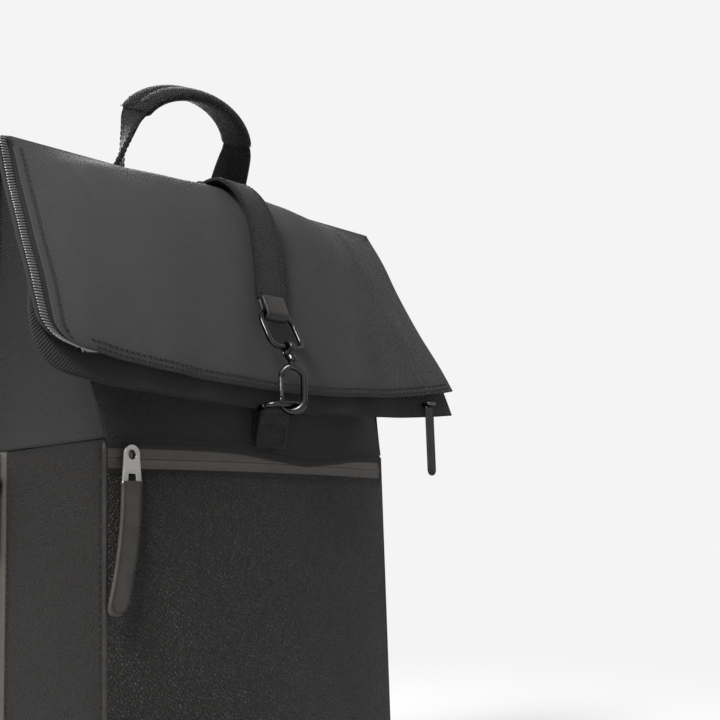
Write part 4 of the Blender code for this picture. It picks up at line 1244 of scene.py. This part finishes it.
def ring_tab():
    """The sewn tab folded round the D-ring's bar: a short rear leaf, an arc and a longer front leaf."""
    hub = joint_place("d_ring_swing")
    face = front_y(STRAP_X)
    radius = 0.0040
    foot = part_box("ring_tab")[0][2] - 0.0006
    a = np.linspace(math.radians(30), math.radians(215), 32)
    bend = stack(STRAP_X, hub[1] + radius * np.cos(a), hub[2] + radius * np.sin(a))
    rear_y = np.linspace(face - 0.0013, bend[0, 1] + 0.0002, 8)
    rear = stack(STRAP_X, rear_y, np.linspace(foot + 0.004, bend[0, 2] - 0.0012, 8))
    front_y_at = [(bend[-1, 1],), (hub[1] - 0.0015,), (face - 0.0045,), (face - 0.0032,)]
    front_y_at = spline(front_y_at, np.linspace(0, 1, 16))[:, 0]
    front = stack(STRAP_X, front_y_at, np.linspace(bend[-1, 2] - 0.0008, foot, 16))
    path = np.concatenate([rear, bend, front])
    section = rounded_section(0.0305, 0.0024, 7.0, 34)
    band("ring_tab_leather", path, section, ACROSS, "fine_leather", "bag", ["ring_tab"])
    corners = oblong(0.0125, foot + 0.0028, foot + 0.016, 0.001, 3)
    corners = np.concatenate([corners, corners[:1]])
    surface_y = np.interp(corners[:, 1], front[::-1, 2], front[::-1, 1]) - 0.0014
    seam = np.stack([STRAP_X + corners[:, 0], surface_y, corners[:, 1]], -1)
    stitched("ring_tab_stitch", seam, FRONTWARDS, pitch=0.0036)


# ---- Handle ---------------------------------------------------------------------------


def handle_line(share):
    """The handle's middle line: up a leg, over a half ellipse, and down the other leg."""
    place = joint_place("handle_fold")
    bend = math.pi * (HANDLE_ARCH + HANDLE_HALF) / 2
    whole = 2 * HANDLE_LEG + bend
    at = np.asarray(share) * whole
    a = np.clip(np.pi * (at - HANDLE_LEG) / bend, 0, np.pi)
    straight = np.where(at < HANDLE_LEG, at, np.where(at > HANDLE_LEG + bend, whole - at, HANDLE_LEG))
    rise = straight + HANDLE_ARCH * np.sin(a)
    across = stack(-HANDLE_HALF * np.cos(a), place[1], place[2])
    return across + rise[..., None] * np.array((0, -math.sin(HANDLE_LEAN), math.cos(HANDLE_LEAN)))


def handle_ways(share):
    """The way along the handle, and across it: along the bag at a foot, front-to-back at the wrap."""
    back_way = np.array((0, math.cos(HANDLE_LEAN), math.sin(HANDLE_LEAN)))
    ahead = unit(handle_line(np.minimum(share + 1e-3, 1)) - handle_line(np.maximum(share - 1e-3, 0)))
    out = unit(np.cross(back_way, ahead))
    ends = np.minimum(share, 1 - share)
    turn = (math.pi / 2 * np.clip(ends / GRIP_SHARE, 0, 1))[:, None]
    return ahead, out * np.cos(turn) + back_way * np.sin(turn)


def handle_patch(side, label):
    """The sewn patch that holds one of the handle's feet to the back."""
    v = np.linspace(-0.13, 0.04, 26)
    foot = back_surface(np.full(v.shape, side * HANDLE_HALF / BACK_HALF), FOOT_V + v)
    up = outward_of(foot)
    path = foot + up * 0.0019
    name = f"handle_patch_{label}"
    section = rounded_section(0.030, 0.0030, 7.0, 30)
    band(name, path, section, ACROSS, "fine_leather", "bag", [f"handle_foot_{label}"])
    for k, x in enumerate((-0.0120, 0.0120)):
        line = path + up * 0.0016 + np.array((x, 0, 0))
        stitched(f"{name}_stitch_{k}", line, up[13], pitch=0.0042)


def handle_leg(side, label):
    """One leg of the handle, stitched along both edges of both faces."""
    share = np.linspace(0.0, GRIP_SHARE + 0.03, 90)
    share = share if side < 0 else 1 - share
    path = handle_line(share)
    ahead, across = handle_ways(share)
    name = f"handle_strap_{label}"
    section = rounded_section(0.0305, 0.0040, 6.0, 34)
    band(name, path, section, across, "fine_leather", "handle", [f"handle_band_{label}"])
    normal = np.cross(ahead, across)
    stitch = capsule(0.0030, 0.0004, 5)
    for k, reach in enumerate((-0.0122, 0.0122)):
        for face, way in (("a", 1), ("b", -1)):
            line = path + across * reach + normal * way * 0.0020
            middles, along = stitch_places(line[:80], 0.0042)
            index = np.linspace(0, 79, len(middles)).astype(int)
            name_k = f"{name}_stitch_{k}{face}"
            scattered(name_k, stitch, middles, along, across[index], "thread", "handle")


def handle_wrap():
    """The padded leather wrap: narrower at its ends, with a sunk seam between two domes on its outer face."""
    share = np.linspace(GRIP_SHARE - 0.004, 1 - GRIP_SHARE + 0.004, 150)
    path = handle_line(share)
    ahead, side = handle_ways(share)
    place = joint_place("handle_fold")
    out = np.cross(ahead, side)
    out *= np.sign(np.sum(out * (path - np.array((0, place[1], place[2]))), -1, keepdims=True))
    t = np.linspace(0, 1, 150)
    ends = np.exp(-np.square(t / 0.012)) + np.exp(-np.square((1 - t) / 0.012))
    points = carried(path, rounded_section(0.0335, 0.0100, 3.2, 72), side, scale=1 - 0.10 * ends)
    local = points - path[:, None]
    across, high = np.sum(local * side[:, None], -1), np.sum(local * out[:, None], -1)
    groove = np.exp(-np.square(across / 0.0011)) * 0.0016 * (high > 0)
    dome = 0.0010 * np.cos(np.clip(np.abs(across) / 0.0165, 0, 1) * math.pi - math.pi / 2) * (high > 0)
    points = points + out[:, None] * (dome - groove)[..., None]
    mesh = recalculated(grid_mesh("handle_wrap", points, wrap_cols=True, caps=True))
    wrap = piece("handle_wrap", mesh, "leather", "handle", ["handle_grip"])
    stitched("handle_seam_stitch", (path + out * 0.0046)[4:-4], out[75], "handle", 0.0036)
    for label, row in (("left", 5), ("right", -6)):
        for k, slant in enumerate((1, -1)):
            reach = np.linspace(-0.0125, 0.0125, 12)[:, None]
            line = path[row] + side[row] * reach + ahead[row] * reach * slant * 0.45
            line = line + out[row] * (0.0060 - np.abs(reach) * 0.03)
            stitched(f"grip_cross_{label}_{k}", line, out[row], "handle", 0.0036)


def handle_pieces():
    """The carry handle: it leans over the ridge on two legs, each turned a quarter, with a laced wrap."""
    for side, label in SIDES:
        handle_patch(side, label)
        handle_leg(side, label)
    handle_wrap()


# ---- Shoulder straps ------------------------------------------------------------------


def strap_line(top, foot, share):
    """A shoulder strap's middle line, from its top tab to its foot tab, bowed back by a squared sine."""
    share = np.asarray(share, float)
    place = mix(top, foot, share[..., None])
    place[..., 1] += 0.048 * np.sin(np.pi * share**0.85) ** 2
    return place


def shoulder_pad(label, top, foot, across):
    """The padded length: narrower at both ends, thin at its tips and along its rims."""
    v = np.linspace(0, 1, 110)[:, None]
    wide = 0.056 * mix(0.60, 1.0, np.clip(v / 0.25, 0, 1))
    wide = wide * mix(1.0, 0.72, np.clip((v - 0.86) / 0.14, 0, 1) ** 2)
    tips = np.exp(-np.square(v / 0.03)), np.exp(-np.square((1 - v) / 0.03))
    thin = 0.0118 * (1 - 0.65 * tips[0] - 0.65 * tips[1])
    unit_section = rounded_section(2.0, 2.0, 3.6, 60)
    x = unit_section[:, 0] * wide / 2
    rim = np.clip((np.abs(x) - (wide / 2 - 0.005)) / 0.005, 0, 1)
    y = unit_section[:, 1] * thin / 2 * (1 - 0.35 * rim)
    path = strap_line(top, foot, mix(0.0012, PAD_SHARE, v[:, 0]))
    name, nodes = f"{label}_shoulder_pad", [f"{label}_strap_pad"]
    pad = band(name, path, np.stack([x, y], -1), across, "mesh", f"{label}_strap", nodes)


def buckle(label, top, foot, across):
    """The ladder lock: a plate with two slots, square to the strap."""
    at = strap_line(top, foot, LOCK_SHARE)
    slope = unit(strap_line(top, foot, LOCK_SHARE + 0.01) - strap_line(top, foot, LOCK_SHARE - 0.01))
    wide_way = unit(across - slope * np.dot(across, slope))
    outline = oblong(0.0165, -0.0108, 0.0108, 0.003, 6)
    slots = [oblong(0.0130, z - 0.0018, z + 0.0018, 0.0008, 4) for z in (-0.0055, 0.0045)]
    name = f"{label}_buckle"
    mesh = outline_mesh(name, [outline, *slots], 0.0044, at, wide_way, -slope, 0.0006)
    piece(name, mesh, "acetal", f"{label}_strap", [f"{label}_ladder_lock"])


def strap_tabs(label, top, foot, across):
    """The leather tabs that hold the strap's ends: each bends from the bag to the strap and turns with it."""
    (_, upper_y, _), (_, _, upper_z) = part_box(f"{label}_upper_tab")
    lower_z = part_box(f"{label}_lower_tab")[0][2]
    upper = [(upper_y + 0.0014, upper_z), (upper_y + 0.0075, 0.3925)]
    upper += [(top[1] - 0.0026, 0.3878), (top[1], top[2])]
    lower = [(BACK_Y + 0.0016, lower_z), (BACK_Y + 0.0115, 0.0146)]
    lower += [(foot[1] - 0.0020, 0.0222), (foot[1], foot[2] + 0.0002)]
    for part, width, spots in (("upper_tab", 0.034, upper), ("lower_tab", 0.028, lower)):
        lo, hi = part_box(f"{label}_{part}")
        share = np.linspace(0, 1, 40)
        path = spline([((lo[0] + hi[0]) / 2, y, z) for y, z in spots], share)
        sideways = mix(-ACROSS, across, share[:, None])
        section = rounded_section(width, 0.0028, 7.0, 30)
        name, nodes = f"{label}_{part}_leather", [f"{label}_{part}"]
        band(name, path, section, sideways, "fine_leather", "bag", nodes)


def shoulder_straps():
    """Both straps: a pad with a tape along it, the webbing below it, the buckle between and the tabs."""
    section = rounded_section(0.0255, 0.0018, 8.0, 26)
    for side, label in SIDES:
        top = joint_place(f"{label}_strap_swing")
        foot = np.array((side * 0.122, top[1], 0.034))
        across = np.cross((0, 1.0, 0), unit(foot - top))
        body = f"{label}_strap"
        shoulder_pad(label, top, foot, across)
        tape = strap_line(top, foot, np.linspace(0.10, PAD_SHARE + 0.006, 70)) + np.array((0, 0.0062, 0))
        band(f"{label}_pad_tape", tape, section, across, "webbing", body)
        run = strap_line(top, foot, np.linspace(LOCK_SHARE + 0.006, 0.997, 60))
        nodes = [f"{label}_webbing"]
        band(f"{label}_strap_webbing", run, section, across, "webbing", body, nodes)
        buckle(label, top, foot, across)
        strap_tabs(label, top, foot, across)


# ---- Stage ----------------------------------------------------------------------------

BACKDROP = 0.905
LENS, SENSOR = 60.7, 36.0
CAMERA_PLACE = (-0.650, -0.6933, 0.2063)
CAMERA_TURNS = (-50.84, 8.96, -1.94)
LIT_POINT = (0, -0.02, 0.32)


def pale_floor():
    """A pale floor that takes the shadow near the object and fades into the backdrop further out."""
    shop = Workshop("pale_floor", (0.86, 0.86, 0.86), 0.9)
    rays = shop.tree.nodes.new("ShaderNodeLightPath")
    seen = Socket(shop, rays.outputs["Is Camera Ray"])
    far = shop.node("ShaderNodeVectorMath", {"operation": "LENGTH"}, {0: shop.place()}, output=1)
    share = seen * (far.clamped(0.25, 1.6) * 0.55 + 0.45)
    glow = shop.node("ShaderNodeEmission", None, {"Color": (1, 1, 1), "Strength": BACKDROP})
    mixed = shop.node("ShaderNodeMixShader", None, {0: share})
    shop.tree.links.new(shop.shader.outputs[0], mixed.output.node.inputs[1])
    shop.tree.links.new(glow.output, mixed.output.node.inputs[2])
    shop.tree.links.new(mixed.output, shop.tree.nodes["Material Output"].inputs["Surface"])
    return shop.material


def stage_floor():
    """A round floor just under the bag, in rings that grow outwards."""
    a = np.linspace(0, math.tau, 64, endpoint=False)
    reach = np.array([0.001, 2.0, 40.0])[:, None]
    points = stack(reach * np.cos(a), reach * np.sin(a), -0.0004)
    floor = bpy.data.objects.new("floor", recalculated(grid_mesh("floor", points, wrap_cols=True)))
    bpy.context.scene.collection.objects.link(floor)
    if floor.data.polygons[0].normal.z < 0:
        floor.data.flip_normals()
    floor.data.materials.append(pale_floor())


def stage_world(ambient):
    """Even light from all round, and the pale backdrop for what is seen, mirrored or looked through."""
    world = bpy.data.worlds.new("studio")
    bpy.context.scene.world = world
    world.use_nodes = True
    nodes, links = world.node_tree.nodes, world.node_tree.links
    back = nodes["Background"]
    back.inputs["Color"].default_value = (1, 1, 1, 1)
    path = nodes.new("ShaderNodeLightPath")
    seen = path.outputs["Is Camera Ray"]
    for ray in ("Is Transmission Ray", "Is Glossy Ray"):
        either = nodes.new("ShaderNodeMath")
        either.operation = "MAXIMUM"
        links.new(seen, either.inputs[0])
        links.new(path.outputs[ray], either.inputs[1])
        seen = either.outputs[0]
    strength = nodes.new("ShaderNodeMapRange")
    links.new(seen, strength.inputs["Value"])
    strength.inputs["To Min"].default_value = ambient
    strength.inputs["To Max"].default_value = BACKDROP
    links.new(strength.outputs[0], back.inputs["Strength"])


def stage_lamps(key):
    """A key light high on the left, a weak fill from the front and a rim light from behind."""
    target = Vector(LIT_POINT)
    for name, place, power, size in (
        ("key", (-1.45, -0.40, 1.75), key, 0.6),
        ("fill", (-0.9, -2.1, 0.9), key * 0.07, 1.3),
        ("rim", (0.9, 1.4, 1.5), key * 0.30, 1.2),
    ):
        light = bpy.data.lights.new(name, "AREA")
        light.energy = power
        light.size = size
        lamp = bpy.data.objects.new(name, light)
        lamp.location = place
        lamp.rotation_euler = (target - Vector(place)).to_track_quat("-Z", "Y").to_euler()
        bpy.context.scene.collection.objects.link(lamp)


def stage_camera():
    """The camera, turned by its yaw and pitch and then rolled about its own view."""
    data = bpy.data.cameras.new("camera")
    data.lens, data.sensor_width = LENS, SENSOR
    data.clip_start, data.clip_end = 0.01, 100
    camera = bpy.data.objects.new("camera", data)
    yaw, pitch, roll = (math.radians(degrees) for degrees in CAMERA_TURNS)
    ahead = Vector((-math.sin(yaw) * math.cos(pitch), math.cos(yaw) * math.cos(pitch), math.sin(pitch)))
    right = Vector((math.cos(yaw), math.sin(yaw), 0.0))
    up = right.cross(ahead)
    tilted = right * math.cos(roll) + up * math.sin(roll)
    upright = up * math.cos(roll) - right * math.sin(roll)
    matrix = Matrix((tilted, upright, -ahead)).transposed().to_4x4()
    matrix.translation = CAMERA_PLACE
    camera.matrix_world = matrix
    bpy.context.scene.collection.objects.link(camera)
    bpy.context.scene.camera = camera


def stage_pieces(settings):
    """A pale floor and backdrop, a soft key and fill, and the camera."""
    bpy.context.scene.view_settings.view_transform = "Standard"
    stage_floor()
    stage_world(settings.ambient)
    stage_lamps(settings.key)
    stage_camera()


# ---- The add-on -----------------------------------------------------------------------


class BackpackSettings(bpy.types.PropertyGroup):
    """The looks that a user would change."""

    leather: bpy.props.FloatVectorProperty(
        name="Leather",
        description="Colour of the pebbled leather",
        subtype="COLOR",
        size=3,
        default=(0.0175, 0.0162, 0.0152),
        min=0,
        max=1,
    )
    cloth: bpy.props.FloatVectorProperty(
        name="Cloth",
        description="Colour of the coated cloth",
        subtype="COLOR",
        size=3,
        default=(0.0180, 0.0180, 0.0185),
        min=0,
        max=1,
    )
    grain: bpy.props.FloatProperty(
        name="Grain", description="Pebbles in a metre of the front leather", default=480.0, min=100, max=3000
    )


class BackpackLightSettings(bpy.types.PropertyGroup):
    """The studio's light."""

    key: bpy.props.FloatProperty(
        name="Key light", description="Power of the key light", unit="POWER", default=95.0, min=0
    )
    ambient: bpy.props.FloatProperty(
        name="Ambient", description="Strength of the even light from all round", default=0.10, min=0, max=2
    )


class LooksOperator(bpy.types.Operator):
    """Make the leather, cloth, zip and metal materials"""

    bl_idname = "backpack.looks"
    bl_label = "Materials"

    def execute(self, context):
        make_looks(context.scene.backpack)
        return {"FINISHED"}


class LowerBagOperator(bpy.types.Operator):
    """Build the leather panels, piping, base, back and linings"""

    bl_idname = "backpack.lower_bag"
    bl_label = "Lower bag"

    def execute(self, context):
        lower_bag_pieces()
        back_pads()
        return {"FINISHED"}


class UpperBagOperator(bpy.types.Operator):
    """Build the cloth of the upper bag and the fold, with the zips along it"""

    bl_idname = "backpack.upper_bag"
    bl_label = "Upper bag and zips"

    def execute(self, context):
        front_cloth()
        for side, label in SIDES:
            side_cloth(side, label)
        flap = outer_cloth()
        hem_stitches(flap)
        under_cloth()
        front_zip()
        mouth_zip(flap)
        side_zip()
        front_zip_pull()
        small_pulls()
        return {"FINISHED"}


class ClosureOperator(bpy.types.Operator):
    """Build the strap, loop, rings, hook and tab that hold the fold down"""

    bl_idname = "backpack.closure"
    bl_label = "Closure"

    def execute(self, context):
        closure_pieces()
        return {"FINISHED"}


class HandleOperator(bpy.types.Operator):
    """Build the twisted carry handle and its laced grip"""

    bl_idname = "backpack.handle"
    bl_label = "Handle"

    def execute(self, context):
        handle_pieces()
        return {"FINISHED"}


class StrapsOperator(bpy.types.Operator):
    """Build the padded shoulder straps with webbing and buckles"""

    bl_idname = "backpack.straps"
    bl_label = "Shoulder straps"

    def execute(self, context):
        shoulder_straps()
        return {"FINISHED"}


class StageOperator(bpy.types.Operator):
    """Set the floor, lights and camera"""

    bl_idname = "backpack.stage"
    bl_label = "Stage"

    def execute(self, context):
        stage_pieces(context.scene.backpack_light)
        return {"FINISHED"}


OPERATORS = (
    LooksOperator,
    LowerBagOperator,
    UpperBagOperator,
    ClosureOperator,
    HandleOperator,
    StrapsOperator,
    StageOperator,
)


class BackpackPanel(bpy.types.Panel):
    """Lists the settings and the steps"""

    bl_idname = "VIEW3D_PT_backpack"
    bl_label = "Fold-over backpack"
    bl_space_type = "VIEW_3D"
    bl_region_type = "UI"
    bl_category = "Backpack"

    def draw(self, context):
        layout = self.layout
        for name in ("leather", "cloth", "grain"):
            layout.prop(context.scene.backpack, name)
        for name in ("key", "ambient"):
            layout.prop(context.scene.backpack_light, name)
        for step in OPERATORS:
            layout.operator(step.bl_idname)


CLASSES = (BackpackSettings, BackpackLightSettings, *OPERATORS, BackpackPanel)


def register():
    for cls in CLASSES:
        bpy.utils.register_class(cls)
    bpy.types.Scene.backpack = bpy.props.PointerProperty(type=BackpackSettings)
    bpy.types.Scene.backpack_light = bpy.props.PointerProperty(type=BackpackLightSettings)


def unregister():
    del bpy.types.Scene.backpack_light
    del bpy.types.Scene.backpack
    for cls in reversed(CLASSES):
        bpy.utils.unregister_class(cls)


def main():
    """Runs every step."""
    register()
    for step in OPERATORS:
        group, name = step.bl_idname.split(".")
        getattr(getattr(bpy.ops, group), name)()


if __name__ == "__main__":
    main()
